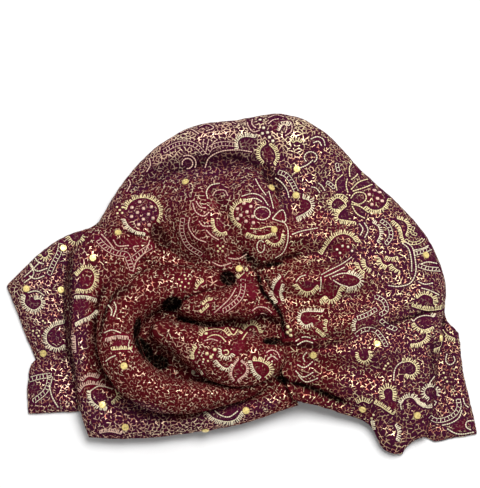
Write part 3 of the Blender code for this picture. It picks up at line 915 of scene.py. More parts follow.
# Painted shade: deep hollows between the folds, and valleys in half shade
PAINTED_SHADE_POCKETS = areas(
    0.6, 1.5,
    (172, 304, 10, 7, -15, 1), (145, 350, 6, 15, -35, 1), (137, 328, 3.5, 11, 10, 0.9),
    (160, 362, 9, 7, 20, 1), (272, 341, 9, 3.4, 0, 0.95), (228, 278, 8, 7, 30, 1),
    (186, 320, 11, 3, 12, 0.7), (283, 380, 8, 4, 20, 0.8), (160, 238, 9, 15, -30, 0.5),
    (283, 325, 2.4, 8, 0, 0.7), (250, 260, 11, 2.4, 35, 0.8), (272, 265, 12, 2.2, -12, 0.8),
    (160, 172, 32, 9, -28, 0.36), (222, 160, 42, 9, 0, 0.40), (272, 178, 8, 20, -32, 0.5),
    (150, 262, 16, 5, 30, 0.35), (70, 300, 3.5, 50, 2, 0.4), (122, 292, 14, 4, -35, 0.45),
    (300, 240, 16, 4, -10, 0.35), (325, 262, 30, 4, -12, 0.25), (300, 345, 30, 3, 4, 0.55),
    (320, 311, 34, 13, -8, 0.2), (345, 285, 26, 10, -20, 0.15),
)

# Painted light beside a lap: where the painted shade is lifted
LIT = areas(0.6, 1.4, (240, 328, 30, 8, 2, 0.9), (200, 352, 34, 8, 14, 0.4),
            (440, 400, 24, 30, 0, 0.4))

# Painted highlights: where the net of thread is drawn denser and brighter, for the light that it
# catches
GLEAMS = areas(
    0.5, 1.3,
    (190, 136, 55, 22, -24, 1), (245, 132, 42, 24, 0, 1), (290, 130, 26, 28, 30, 0.9),
    (330, 178, 26, 34, -40, 0.3), (30, 290, 28, 34, 0, 0.3), (232, 330, 34, 6, 10, 0.7),
    (200, 312, 20, 5, 15, 0.4), (395, 425, 22, 24, 10, 0.25), (280, 253, 40, 5, -10, 0.2),
    (190, 350, 26, 10, 10, 0.4), (400, 270, 36, 24, 60, 0.12), (210, 205, 22, 12, -10, 0.3),
    (175, 425, 75, 10, -5, 0.45),
)

# Where one fold meets the next: painted shade only, with no rise
PAINTED_SHADE_LINES = folds(
    (0, 1.6, 0.6, 100, 343, 103, 321, 111, 300, 126, 279),
    (0, 1.5, 0.4, 120, 285, 138, 273, 160, 266, 188, 267, 212, 273),
    (0, 1.8, 0.8, 252, 264, 258, 275, 263, 292, 274, 304, 281, 316, 283, 330),
    (0, 2, 0.35, 135, 403, 165, 414, 200, 410, 240, 396, 283, 381),
    (0, 1.8, 0.5, 284, 342, 305, 345, 330, 343, 353, 340),
    (0, 1.8, 0.25, 285, 381, 307, 389, 330, 399, 352, 409),
    (0, 1.8, 0.35, 296, 262, 312, 252, 330, 250, 352, 254),
    (0, 1.6, 0.3, 300, 300, 320, 296, 345, 300),
)

# Folds pressed into each piece
UPPER_FOLD_NUDGES = (Nudge((236, 332), 22.0, (0, -6)), Nudge((264, 332), 24.0, (0, -12)))
LOWER_FOLD_FOLDS = folds((2.4, 4, 0, 214, 332, 236, 326, 256, 322, 272, 322))
CROWN_FOLDS = folds(
    (-1.6, 2.6, 0.4, 140, 187, 163, 173, 187, 167, 213, 160, 240, 158, 263, 170, 280, 190,
     288, 207, 290, 220),
    (-2, 3, 0.35, 207, 173, 218, 195, 227, 213, 230, 240),
    (-3, 3.2, 0.45, 150, 220, 157, 234, 166, 248, 180, 258),
    (-2.2, 2, 0.8, 167, 257, 200, 270, 225, 277),
    (-2, 1.6, 0.8, 240, 252, 252, 260, 262, 268),
    (-1.6, 1.6, 0.6, 254, 266, 287, 258, 307, 252),
    (0.8, 3, 0, 300, 243, 327, 240, 353, 243),
    (0.9, 3, 0, 277, 280, 310, 281, 347, 283),
    (-1, 2.4, 0.25, 293, 270, 325, 262, 360, 253),
    (-0.9, 2.6, 0.2, 310, 140, 311, 160, 316, 185, 321, 210),
    (0.8, 3, 0, 326, 150, 330, 180, 336, 200),
)
LEFT_BAND_FOLDS = folds(
    (-1.5, 2, 0.6, 120, 280, 103, 290, 95, 320, 100, 353, 113, 383, 133, 400),
    (-1.2, 2, 0.4, 87, 240, 70, 253, 67, 290, 67, 340, 77, 400),
)
RIGHT_BAND_FOLDS = folds(
    (-1.8, 1.8, 0.8, 283, 380, 307, 387, 337, 400, 353, 407),
    (-1.2, 1.8, 0.4, 300, 345, 325, 343, 353, 340),
    (-1, 2.6, 0.4, 432, 335, 434, 365, 431, 398),
    (-1, 4, 0.3, 395, 300, 396, 317, 397, 333),
)

# Each row: thread, tone and reach, then the paths that are worked that way
PATTERN = (
    # the wing and the lower left brim
    (Thread.COMB, Tone.PALE, -3.2,
     (25.3, 295.7, 24.6, 304, 33.7, 310.3, 41.3, 305, 40.6, 299, 34.4, 299.5),
     (64.3, 323, 53.6, 326.3, 46.7, 334, 47.5, 343.2, 56.6, 348.5, 64.3, 344.7)),
    (Thread.LINE, Tone.PALE, 0, (27.6, 292.7, 36.7, 291, 44.4, 295.7),
     (30.6, 263.6, 36.7, 271.2, 47.5, 268.2), (29, 275.8, 35.2, 278.9, 44.4, 275.8),
     (29.8, 263.6, 33.7, 274.3, 24, 283), (24, 277, 31, 271, 40, 262),
     (49, 384.5, 52, 396.7, 58.2, 407.5), (34, 256, 38, 262, 44, 264)),
    (Thread.LADDER, Tone.PALE, 4.4, (61.2, 243.7, 58.9, 252.9, 53.6, 263.6, 49, 274.3),
     (29, 379.9, 39, 377, 50.5, 375.3), (50.5, 376, 45.9, 390.6, 33.7, 401.3)),
    (Thread.COMB, Tone.YELLOW, -3, (68.9, 236, 73.5, 242, 79.6, 240.6, 83.4, 234.5),
     (40.6, 254.4, 44.4, 258.2, 49, 254.4, 47.5, 250.6)),
    (Thread.DOTS, Tone.YELLOW, 1.2, (42.9, 321, 36.7, 333, 45, 323, 38.5, 336, 33, 331)),
    # the fold down the left side, and the hem
    (Thread.COMB, Tone.YELLOW, 3.2,
     (77, 276, 84, 268.6, 91.5, 269.4, 95, 277.4, 92, 286.5, 85.7, 290, 77, 288.8),
     (115, 389, 116.9, 396, 111.3, 402)),
    (Thread.COMB, Tone.PALE, -3, (75, 296, 85.7, 296, 96.4, 298.8),
     (75, 323.5, 81, 320, 90.3, 315.6, 96.4, 310)),
    (Thread.COMB, Tone.ROSE, 3, (76, 352.4, 75.5, 344.7, 75, 336),
     (82.7, 380.9, 88.8, 376, 98, 378), (99.5, 433, 110, 431.5, 121, 434),
     (80, 392, 84, 386, 93, 384, 104, 387)),
    (Thread.COMB, Tone.PALE, -3, (90.3, 391, 91, 399, 98, 406, 107, 407),
     (205, 410.5, 214.3, 418.5, 226.5, 421.6, 236, 419, 242, 411)),
    (Thread.LINE, Tone.PALE, 0, (90.3, 391, 99.5, 386, 113.3, 389),
     (213, 409, 220, 415, 229, 417, 238, 411)),
    # the band over the left of the rosette
    (Thread.LADDER, Tone.ROSE, 5,
     (98, 239.6, 105.6, 247.3, 116.3, 252.9, 126, 254.4, 129, 261, 132.6, 270),
     (133, 259, 141.8, 252.3, 151, 246.2)),
    (Thread.LINE, Tone.ROSE, 0, (113.3, 239.6, 117.9, 246, 129, 245.5),
     (101, 234, 108, 241, 114, 249), (136, 252, 133, 247, 139, 246),
     (150, 240, 145, 252, 136, 262, 133, 272)),
    # the rosette's roll
    (Thread.DOTS, Tone.YELLOW, 1.1,
     (181.8, 282.2, 185.6, 279, 188.7, 283.4, 185, 287, 180.2, 286, 179, 279.5, 184.6, 275.4,
      190, 279), (199, 352.4, 206.6, 353.9, 215.8, 349.5, 212.8, 354.8, 203.6, 359.4, 208, 361)),
    (Thread.COMB, Tone.YELLOW, 2.6, (196.5, 289, 199, 284.6, 203.6, 281.4),
     (111.7, 350, 121, 349.2, 131.6, 349)),
    (Thread.LINE, Tone.PALE, 0, (114, 301.8, 116.3, 308, 113.3, 317),
     (108, 305, 112, 310, 111, 316), (130, 339.6, 128.4, 346, 132.6, 352.4),
     (105.6, 361.5, 110, 358, 115.8, 355.4), (104, 333, 112, 330, 121, 333)),
    (Thread.COMB, Tone.ROSE, -3, (105.6, 338.6, 116.3, 336, 128, 336.5)),
    # the rosette's upper fold
    (Thread.LADDER, Tone.ROSE, 4.4, (243, 279, 243, 288.3, 240, 297.5, 232.4, 305, 223.7, 310.8)),
    (Thread.COMB, Tone.YELLOW, 2.6, (201, 313, 204.8, 309.5, 209, 306),
     (238, 278.6, 242.7, 274, 248, 270), (203, 305, 207, 301, 212, 300)),
    (Thread.LINE, Tone.ROSE, 0, (214, 313, 222, 306, 230, 298, 236, 288),
     (252, 311, 258, 307, 266, 308, 272, 313), (255, 318, 262, 313, 269, 316)),
    # the rosette's flowered body
    (Thread.COMB, Tone.YELLOW, 3.2,
     (201.6, 336, 203.4, 332, 207.6, 330.4, 215.3, 329, 223, 330.4, 228.7, 336),
     (241.4, 334, 245.6, 328, 251.3, 324.4, 257, 326.6, 259.7, 333.2),
     (252.7, 360.6, 261, 361.4, 268.6, 366, 269.6, 372, 264.4, 377.6),
     (194, 359, 193.6, 352.4, 197, 347)),
    (Thread.COMB, Tone.PALE, -2.8, (216, 360, 221.7, 366.4, 228, 368.6, 231.6, 364),
     ring(197.5, 372.3, 6, 3.6, 20, 220), ring(226.5, 351.6, 5.6, 5.4, 200, 20),
     (251.3, 361, 252.7, 367, 256, 373, 261, 377)),
    (Thread.LINE, Tone.YELLOW, 0, (226, 325.5, 229, 330, 233.4, 335.4, 237.6, 330, 241.4, 323.6),
     (229, 324, 233.4, 330, 238.4, 323), ring(226, 352.4, 2.8, 2.6, -150, 120),
     (242, 340, 246, 334, 251, 329), (207, 338, 213, 335, 220, 336, 226, 342)),
    (Thread.COMB, Tone.ROSE, 2, (234.4, 380, 231.5, 375, 233, 367.6, 238.6, 359.3),
     (240.7, 361.4, 246.4, 366, 245.6, 373, 237.6, 380)),
    (Thread.LINE, Tone.ROSE, 0, (266, 353, 271, 350, 277, 352, 280, 358),
     (267, 360, 272, 356, 278, 360), (204, 341, 211, 339, 218, 341)),
    (Thread.DOTS, Tone.YELLOW, 1.9,
     (206.9, 353.7, 211, 357, 214.6, 349.6, 206, 333.6, 287.5, 332.7, 284.6, 330, 290.4, 330.4,
      290.8, 335.6, 285, 336, 287.8, 326.8)),
    (Thread.DOTS, Tone.PALE, 0.9,
     (271, 355, 274.4, 357, 268.6, 358, 272, 361.4, 199, 366, 203, 362)),
    # the crown's top flower
    (Thread.DOTS, Tone.PALE, 1.7,
     (260, 120, 263.6, 128, 267.6, 132.6, 269.4, 137.4, 272.8, 141, 262.4, 133.6)),
    (Thread.LINE, Tone.ROSE, 0, (249.2, 115.5, 247.4, 124, 253, 131.8, 260, 130),
     (253, 117, 251.8, 124, 256, 128), (281.3, 122, 290.5, 122, 291.5, 131, 285, 136),
     (278, 131, 282, 124, 287, 127, 285, 133), (268, 118, 276, 115, 284, 117),
     (268, 124, 273, 120, 279, 119), (126.7, 178, 130.6, 183.4, 126.6, 191.8),
     (149, 158, 150.5, 164.8, 146.6, 172), (199, 127, 207, 124, 214, 128, 206, 131),
     (217, 123, 226, 120, 236, 124), (180, 133, 190, 129, 199, 134)),
    (Thread.COMB, Tone.PALE, 3, (238.5, 148.5, 237.7, 140.8, 244.6, 136.4, 255.3, 137.7),
     (279, 131, 283, 124.6, 289, 126)),
    (Thread.COMB, Tone.YELLOW, -3, (266, 143.6, 260.4, 149, 260, 156.6, 264, 162)),
    (Thread.COMB, Tone.YELLOW, 3, (269, 144.4, 274.6, 150.5, 276.2, 158.2, 273.6, 163),
     (293, 143, 296.6, 140.6, 301, 143)),
    (Thread.LADDER, Tone.ROSE, 4, (163.5, 151.5, 174.7, 145, 187, 142.9, 197, 146.7, 203.8, 154),
     (206.8, 154, 211, 147.5, 221.6, 143.8, 236, 144.4)),
    (Thread.LINE, Tone.ROSE, 0, (206, 150.5, 207.4, 145, 209, 138.8),
     (211.5, 148, 213, 143, 217.5, 139.4), (203.5, 148, 203, 143, 204, 139),
     ring(187.4, 163.6, 5.4, 5.2, -200, 100), ring(187.4, 163.6, 8.6, 8.4, -120, 30),
     (205, 168, 209, 158, 221, 151.4, 238, 150, 252, 152)),
    (Thread.LINE, Tone.PALE, 0, (310.4, 139.3, 317, 136.7, 323.2, 139.4, 325, 146),
     (313, 143, 318.6, 141.2, 321.6, 146), ring(310.6, 157.4, 6.4, 5.6, -230, 60),
     (300, 168, 307, 165, 313, 160)),
    # the medallion on the left of the crown
    (Thread.COMB, Tone.YELLOW, 3, ring(142.8, 212.2, 17, 14.6, 190, 395)),
    (Thread.DOTS, Tone.ROSE, 1.9,
     (139.7, 202, 132, 207.6, 137.5, 212.6, 143.6, 208.6, 148.4, 214.4, 151.4, 207, 153, 218.4,
      143.4, 219.4, 131.6, 216.6, 138.6, 224.6, 149, 225),
     (244, 203.6, 237.4, 209, 250.8, 206.6, 240.8, 215.4, 247, 212, 252.6, 216.6, 246, 221.4,
      253.4, 222.8, 237.6, 219),
     (374.4, 190.4, 379.4, 192.4, 369.2, 194.6, 377.4, 198.6, 371.8, 204.6, 382, 201)),
    (Thread.DOTS, Tone.YELLOW, 1.3,
     (119.8, 210.2, 122.6, 207.4, 117, 207.2, 122.2, 213, 117.4, 213.4),
     (220, 248.5, 223, 246.6, 217.6, 246, 222.4, 251.2, 218, 251.4)),
    (Thread.COMB, Tone.PALE, -3, (124.6, 219, 128.4, 226, 136, 231.4, 145, 233)),
    # the ribbon and leaves beyond the arch
    (Thread.LADDER, Tone.PALE, 4.2, (278.3, 172, 286, 175, 292, 182.7, 296.4, 191.8)),
    (Thread.COMB, Tone.PALE, 3.6,
     (302.8, 198.5, 309.4, 200.6, 311.4, 207.7, 305, 213.3, 296, 217.9)),
    (Thread.LINE, Tone.PALE, 0, (291.8, 234.6, 300.5, 231.4, 309, 229.6, 318, 228),
     (275, 178, 281, 182, 287, 190, 289, 198)),
    # the medallion and leaves on the front puff
    (Thread.COMB, Tone.YELLOW, 3.2, ring(245.6, 213.6, 12.6, 12, 110, 292)),
    (Thread.LINE, Tone.PALE, 0, ring(262.2, 213.4, 8, 6.4, 0, 360),
     (272.2, 218.9, 278.3, 212, 283.4, 210.4, 285.2, 221.9, 272.2, 218.9),
     (241.5, 196.4, 252.3, 193.6, 261.8, 196.8, 268.2, 205.6),
     (243.6, 200.3, 255.3, 198.4, 262, 202), (255.3, 178.6, 259.9, 187.2, 266, 195.4),
     (268.6, 190.8, 271.6, 201, 273.4, 208.7),
     (281.8, 219.9, 287.4, 228, 287.6, 241, 283, 252.6, 275, 258),
     ring(260.7, 246.6, 3.8, 6.2, -20, 320), (207.9, 199, 206.3, 191.8, 210.9, 185.2, 220, 183.4)),
    (Thread.COMB, Tone.YELLOW, -2.8, (247.2, 232.6, 256, 236, 265, 235.6, 274.7, 232),
     (267, 239.8, 273.7, 244, 280.4, 240.8, 282, 233.7),
     (213.6, 219, 214.8, 227, 220.6, 233, 226.2, 231.6)),
    (Thread.LINE, Tone.YELLOW, 0, (250, 228.4, 259, 229, 268, 226.6, 276, 227.6)),
    (Thread.LADDER, Tone.ROSE, 4, (182.8, 218.4, 182, 231.6, 188, 245.4, 201.2, 254.6)),
    (Thread.LINE, Tone.ROSE, 0, (192.6, 203, 195.6, 211.7, 203.3, 216.3, 209.4, 212),
     (196, 201, 200, 207, 206, 208), (189.9, 217.3, 188.6, 227, 195.6, 237.8, 206.3, 242.4),
     (212.5, 195.9, 216, 190.8, 224.7, 190.3, 227.8, 196), (199, 221, 203, 226, 211, 226),
     (206, 230, 212, 236, 219, 240), (228, 258, 238, 259, 247, 254),
     (212, 262, 221, 266, 231, 263)),
    # the flower at the upper right
    (Thread.LINE, Tone.YELLOW, 0,
     (349.8, 177, 349.4, 167, 354, 163, 359.4, 168, 357, 175, 351, 180),
     (350.9, 189.8, 359, 182, 372.4, 178), (352.5, 191.3, 363.2, 188, 372.4, 184.4),
     (350.6, 198.6, 355.5, 192.8, 364.2, 193.2, 366, 199.5, 359, 204.4, 351.4, 201.6),
     (351, 204, 360, 206.4, 368.4, 212.6), (352, 206, 357, 214, 365, 218.4),
     (337, 190.8, 335.8, 181.6, 342.8, 174.6), (347.4, 178.6, 346, 185, 347.9, 192.8),
     (335.6, 194.9, 342.3, 194.6, 347.9, 198.6)),
    (Thread.COMB, Tone.YELLOW, -3, (346.6, 206, 339.8, 212, 337.4, 218.6, 346, 220.6, 355.5, 222),
     (345.6, 203, 338, 197.6, 332, 202, 331.6, 208.4, 340, 210)),
    (Thread.COMB, Tone.YELLOW, 2.8, ring(375.6, 198, 12, 12.6, -60, 140),
     (350, 164, 356, 162, 361, 168, 361, 174)),
    (Thread.LADDER, Tone.PALE, 3, (326.4, 182.2, 330, 184, 334.4, 188),
     (337, 163.3, 337.2, 167, 338.6, 171.4)),
    (Thread.LINE, Tone.PALE, 0, (359, 223.4, 363, 229, 360, 235.7),
     (364, 222.4, 368, 230, 364.6, 238), (318, 183, 322, 186, 325, 191),
     (311, 187, 316, 188, 320, 193)),
    (Thread.COMB, Tone.PALE, 2.6, (372.4, 222.5, 378.6, 227, 380, 235.2, 377, 241.4)),
    (Thread.LADDER, Tone.PALE, 3.6, (380.6, 220.4, 388.6, 226.4, 391, 236.2, 386, 244),
     (413.7, 254, 424.4, 250.8, 435.4, 246), (418.3, 265.3, 428.5, 268.6, 442.8, 269.6)),
    # the leaves and curl at the right edge
    (Thread.COMB, Tone.YELLOW, 2.8, (397, 218.6, 404.6, 221.4, 408, 227.6, 405.6, 235.2)),
    (Thread.COMB, Tone.YELLOW, -2.8, (393, 220.6, 400, 227, 402.6, 237, 405, 242)),
    (Thread.LADDER, Tone.YELLOW, 2.6,
     (419.6, 225.6, 425, 233, 420.6, 241.4, 411.6, 243.4, 405.6, 240),
     (413.6, 227, 411.8, 232.6, 416.6, 234.8)),
    (Thread.LINE, Tone.PALE, 0,
     (405, 241.8, 412, 247, 415, 259, 415.8, 272, 410.4, 283, 398.4, 286.6, 388, 285.4),
     (402, 243, 408.6, 249, 411.4, 261, 411.6, 272), (413.5, 250.3, 424, 248, 434, 241.6),
     (421, 264, 428, 262, 437, 263.6), (418, 281.6, 425, 284.4, 433, 283),
     (421, 288, 430, 290.6, 439, 295)),
    (Thread.COMB, Tone.YELLOW, 3.2,
     (321.8, 254.6, 327, 245.4, 334.6, 236.6, 343, 233.6, 351, 236.2, 356, 242),
     (416.7, 298.5, 423.9, 294, 432.6, 297.5, 433.6, 304),
     (411.6, 306.2, 427.5, 310.4, 443.6, 308.6)),
    (Thread.DOTS, Tone.PALE, 1.4, (337, 249.6, 342.5, 246, 348, 247, 352, 251, 340, 253)),
    (Thread.COMB, Tone.YELLOW, -3.4, (364.7, 259.7, 366, 266.6, 371.4, 269.4),
     (380, 258, 382, 263.6, 387, 266), (391.6, 264, 395, 268.6, 400, 271),
     (386, 256, 391.4, 258, 397.4, 256.4), (358, 263, 360.6, 269.6, 365, 272)),
    # the row of petals under it
    (Thread.COMB, Tone.YELLOW, -3.8, (297, 284, 302.4, 290.6, 310.4, 291.6, 317.4, 285),
     (319.6, 300.6, 325.4, 296, 329.6, 300.4, 336, 297, 339, 289.4, 341.6, 286)),
    (Thread.COMB, Tone.PALE, 3.4, (347, 273.4, 356, 276, 360.6, 280.6, 356, 285.6, 347.4, 287.6)),
    (Thread.LINE, Tone.PALE, 0, (320.7, 276.7, 321, 283, 319.8, 292),
     (332, 277, 340, 273.8, 348, 273.2), (333, 280, 340, 284.4, 348, 287),
     (321, 275, 330, 270, 342, 264, 352, 257), (324, 277, 334, 272.6, 345, 267),
     (296, 282, 300, 277, 306, 275)),
    (Thread.COMB, Tone.PALE, 3, (277.6, 302, 272.6, 294, 275, 284, 281, 277)),
    (Thread.COMB, Tone.PALE, -2.6, (281.6, 301, 279.6, 293, 282, 284)),
    # round the knot and the right band
    (Thread.COMB, Tone.PALE, 2.8, (299.6, 319.6, 302, 312.6, 311, 311.4, 322.4, 312),
     (355.6, 330, 354.6, 325, 356.4, 320.6)),
    (Thread.COMB, Tone.PALE, -2.8, (299.6, 319.6, 305, 325.4, 312.3, 323)),
    (Thread.COMB, Tone.YELLOW, 3, (327, 331, 326, 326, 327.6, 320.4),
     (315.6, 331, 319.4, 333.6, 323, 337.4)),
    (Thread.LINE, Tone.PALE, 0, (295.4, 341.4, 304, 336.8, 315.3, 339.5),
     (297, 345, 305, 341, 313, 343), (295.4, 370.6, 303, 377.2, 313.3, 372.2),
     (297, 364.5, 304.6, 367.6, 312.7, 361.5), (298, 375, 306, 382, 318, 378),
     (307, 352, 303, 357, 305, 362)),
    (Thread.LADDER, Tone.PALE, 3.8,
     (355.6, 335.4, 362.3, 330.3, 369.5, 329.2, 376.2, 331.4, 382, 338, 386.4, 346),
     (357, 318.4, 367.8, 314.3, 376.4, 309), (380.4, 320, 387, 325.4, 396, 329.4),
     (375.4, 296.5, 383.6, 301, 386.4, 310.2, 380, 314.8)),
    (Thread.COMB, Tone.YELLOW, -2.8,
     (357.9, 352.7, 359.6, 359, 364.6, 361.5, 369.4, 357.5, 368.4, 351)),
    (Thread.COMB, Tone.YELLOW, 3.4,
     (402.5, 362.6, 409.6, 361.4, 415.8, 366, 415.8, 372, 411, 375.4, 405.6, 374),
     (384.6, 398, 383, 391.4, 387.6, 387.8, 392.8, 390.4, 393, 400),
     (357.6, 403.4, 363, 400.8, 369.4, 403.4),
     (373.9, 403.2, 381, 406.6, 386.4, 410.4, 393, 414.6)),
    (Thread.LINE, Tone.PALE, 0, (393.6, 381, 394.3, 371.4, 397.6, 365, 403, 361.6),
     (434.6, 376, 429, 384, 428, 388), (447, 353.6, 445.6, 361, 450, 365, 455, 361, 453.4, 356),
     (461.9, 409.8, 458.8, 417.9, 450.7, 423.2, 441.8, 425.4),
     (447, 428.6, 455, 433.2, 463, 434, 474, 432), (474, 420.5, 466.8, 421.6, 466, 427, 471, 430),
     (401.6, 409.8, 400.4, 404.5, 403, 399.6), (463, 398, 464.6, 404, 468.6, 407.6)),
    (Thread.COMB, Tone.PALE, 3,
     (429.3, 398.4, 424.4, 393.8, 426, 388, 432, 386.6, 436.6, 390, 437, 395.4),
     (401.6, 403.5, 404.3, 399, 409.6, 397, 414.4, 399, 417.6, 403.4, 424, 407.6)),
    (Thread.COMB, Tone.PALE, -2.6,
     (436.4, 401.8, 433.2, 406.6, 426.6, 407.6, 418.6, 403.2, 414.4, 397)),
    (Thread.LADDER, Tone.PALE, 4,
     (458, 399, 459, 407, 454.3, 414.6, 445.4, 419.4, 436, 420.4, 430, 417)),
    (Thread.COMB, Tone.YELLOW, -3.2, (414, 322.8, 418.4, 328, 425.7, 330, 433, 326.6),
     (410.5, 344.2, 417, 343.6, 424, 340.4, 427, 334.6, 424.6, 330.6),
     (442.7, 329.4, 447, 335, 455, 338.6), (434, 349, 440.4, 346.6, 441.6, 341)),
    (Thread.COMB, Tone.PALE, 3.2, (413.4, 321.4, 417.4, 317.6, 425.7, 315.4, 434, 317)),
    (Thread.COMB, Tone.PALE, 3, (371, 421, 373, 429, 376, 437), (395, 425, 398, 432, 396, 440)),
    (Thread.DOTS, Tone.YELLOW, 1.3,
     (385.5, 366, 388, 363.6, 445.4, 377.7, 443.6, 373, 447, 381.6, 384, 369),
     (371.6, 418.4, 373.6, 414.8)),
)
MOTIFS = tuple(Motif(thread, tone, reach, path)
               for thread, tone, reach, *paths in PATTERN for path in paths)

# Where the net is thinner, or the cloth has its own colour; the rows of part strength along the
# valley under the crown's arch thin the net there as painted shade
PATCHES = areas(
    0.85, 1.2,
    (110, 422, 70, 24, 6, 0, 0), (52, 330, 34, 90, 0, 0, 0.15), (220, 418, 60, 10, -16, 0, 0.2),
    (195, 162, 66, 16, -8, 0, 0), (33, 302, 6.6, 5.6, 0, 1, 0.1),
    (56.6, 336.6, 6.8, 7, 0, 1, 0.15), (75, 236.5, 4.6, 3.6, 0, 1, 0.4),
    (85.4, 280.4, 6, 5, 0, 1, 0.6), (81.5, 306.2, 8.6, 7.4, 0, 1, 0.45),
    (91.6, 380.6, 5.6, 2.6, 0, 1, 0.6), (99.6, 395.4, 8, 4, 20, 1, 0.45),
    (231, 411, 7.4, 5.2, -25, 1, 0.35), (33, 388, 4.6, 6.4, 0, 1, 0.1),
    (133.6, 242.4, 12.5, 4.6, -4, 1, 0.8), (121, 343.6, 9, 3.6, -5, 1, 0.9),
    (251.4, 288, 5.4, 12, -12, 1, 0.9), (238, 347.6, 5.6, 8.6, 35, 1, 0.9),
    (217, 337.6, 6.4, 3.2, 25, 1, 0.8), (249.4, 333.6, 4.4, 4.4, 0, 1, 0.9),
    (260.6, 371.6, 4, 6.4, -15, 1, 0.9), (238.6, 370, 3.2, 6.4, 10, 1, 0.8),
    (248, 144, 7.6, 5.4, 10, 1, 0.25), (267.8, 153, 4.8, 7.4, -10, 1, 0.35),
    (252.6, 123.4, 2.6, 4.6, 20, 1, 0.3), (276, 126, 4.2, 6.4, 30, 1, 0.5),
    (187, 164, 3.4, 3.2, 0, 1, 0), (164, 168, 24, 8.6, -26, 0.62, 0),
    (222, 158, 34, 8, 0, 0.66, 0), (246, 160, 14, 7, 10, 0.7, 0), (257, 158, 5, 3.4, 20, 1, 0.05),
    (262, 173, 8, 5.6, 20, 0.42, 0.1), (140, 187, 8, 4, 0, 0.5, 0),
    (283, 197, 5.6, 12, -10, 0.4, 0.2), (304.4, 205.6, 5, 4.4, 0, 1, 0.3),
    (262.2, 213.4, 5.8, 4.2, 0, 1, 0.5), (280.4, 217.2, 4.6, 3.8, 10, 1, 0.9),
    (276, 203, 3, 6.2, -10, 1, 0.8), (142.4, 213, 14, 11.6, 0, 0.5, 0.35),
    (246, 213.6, 9.6, 9.6, 0, 0.5, 0.6), (375, 198, 9.4, 10, 0, 0.5, 0.3),
    (341.8, 184.6, 4.2, 7.6, 15, 1, 0.1), (354.6, 171, 3.4, 5.6, 20, 1, 0.15),
    (363, 183.4, 7.6, 2.4, -20, 1, 0.1), (357.6, 198.4, 6, 3.8, 0, 1, 0.15),
    (344.4, 214.6, 5.4, 4.2, -15, 1, 0.1), (338, 203.4, 5, 3.4, 0, 1, 0.35),
    (359.6, 211.4, 5.6, 3, 35, 1, 0.2), (416.8, 231, 5.2, 5.6, 0, 1, 0.1),
    (432, 258.4, 7.6, 4, -10, 1, 0.1), (425.6, 300, 6.4, 5, 0, 1, 0.25),
    (307.4, 318.6, 6.4, 4.6, 0, 1, 0.8), (329.4, 289, 6.4, 7, 0, 1, 0.8),
    (307.6, 284.6, 6.4, 4.2, 0, 1, 0.6), (348.6, 280.4, 7.6, 3.6, 5, 1, 0.6),
    (340, 250, 9.4, 6.4, -20, 1, 0.7), (320, 213, 5, 2.4, 30, 1, 0.5),
    (318, 324, 8.4, 4.2, 30, 1, 0.8), (368, 322.6, 12, 2.6, 0, 1, 0.5),
    (364, 352.6, 3.8, 5, 0, 1, 0.3), (353, 352, 3.6, 5, 0, 1, 0.35),
    (408, 368.6, 5.6, 4.2, 0, 1, 0.1), (388.4, 396, 3.6, 6, 0, 1, 0.3),
    (393.4, 405.4, 5.4, 3.6, 30, 1, 0.5), (431, 394.6, 3.6, 4.4, 0, 1, 0.1),
    (424, 401, 6.4, 3.6, 30, 1, 0.1), (459, 425.6, 8.6, 5.4, -30, 1, 0.35),
    (425.6, 321.6, 6.4, 4.2, 0, 1, 0.3), (342, 228, 6, 3.2, 20, 1, 0.4),
    (383, 371, 3, 5, 0, 1, 0.3), (370, 415, 4.6, 3, 0, 1, 0.4), (213.6, 204, 5, 4, 0, 1, 0.8),
    (219, 224, 4.2, 5.4, 20, 1, 0.8),
)


Stroke = tuple[Pixel, Pixel, float, Tone]


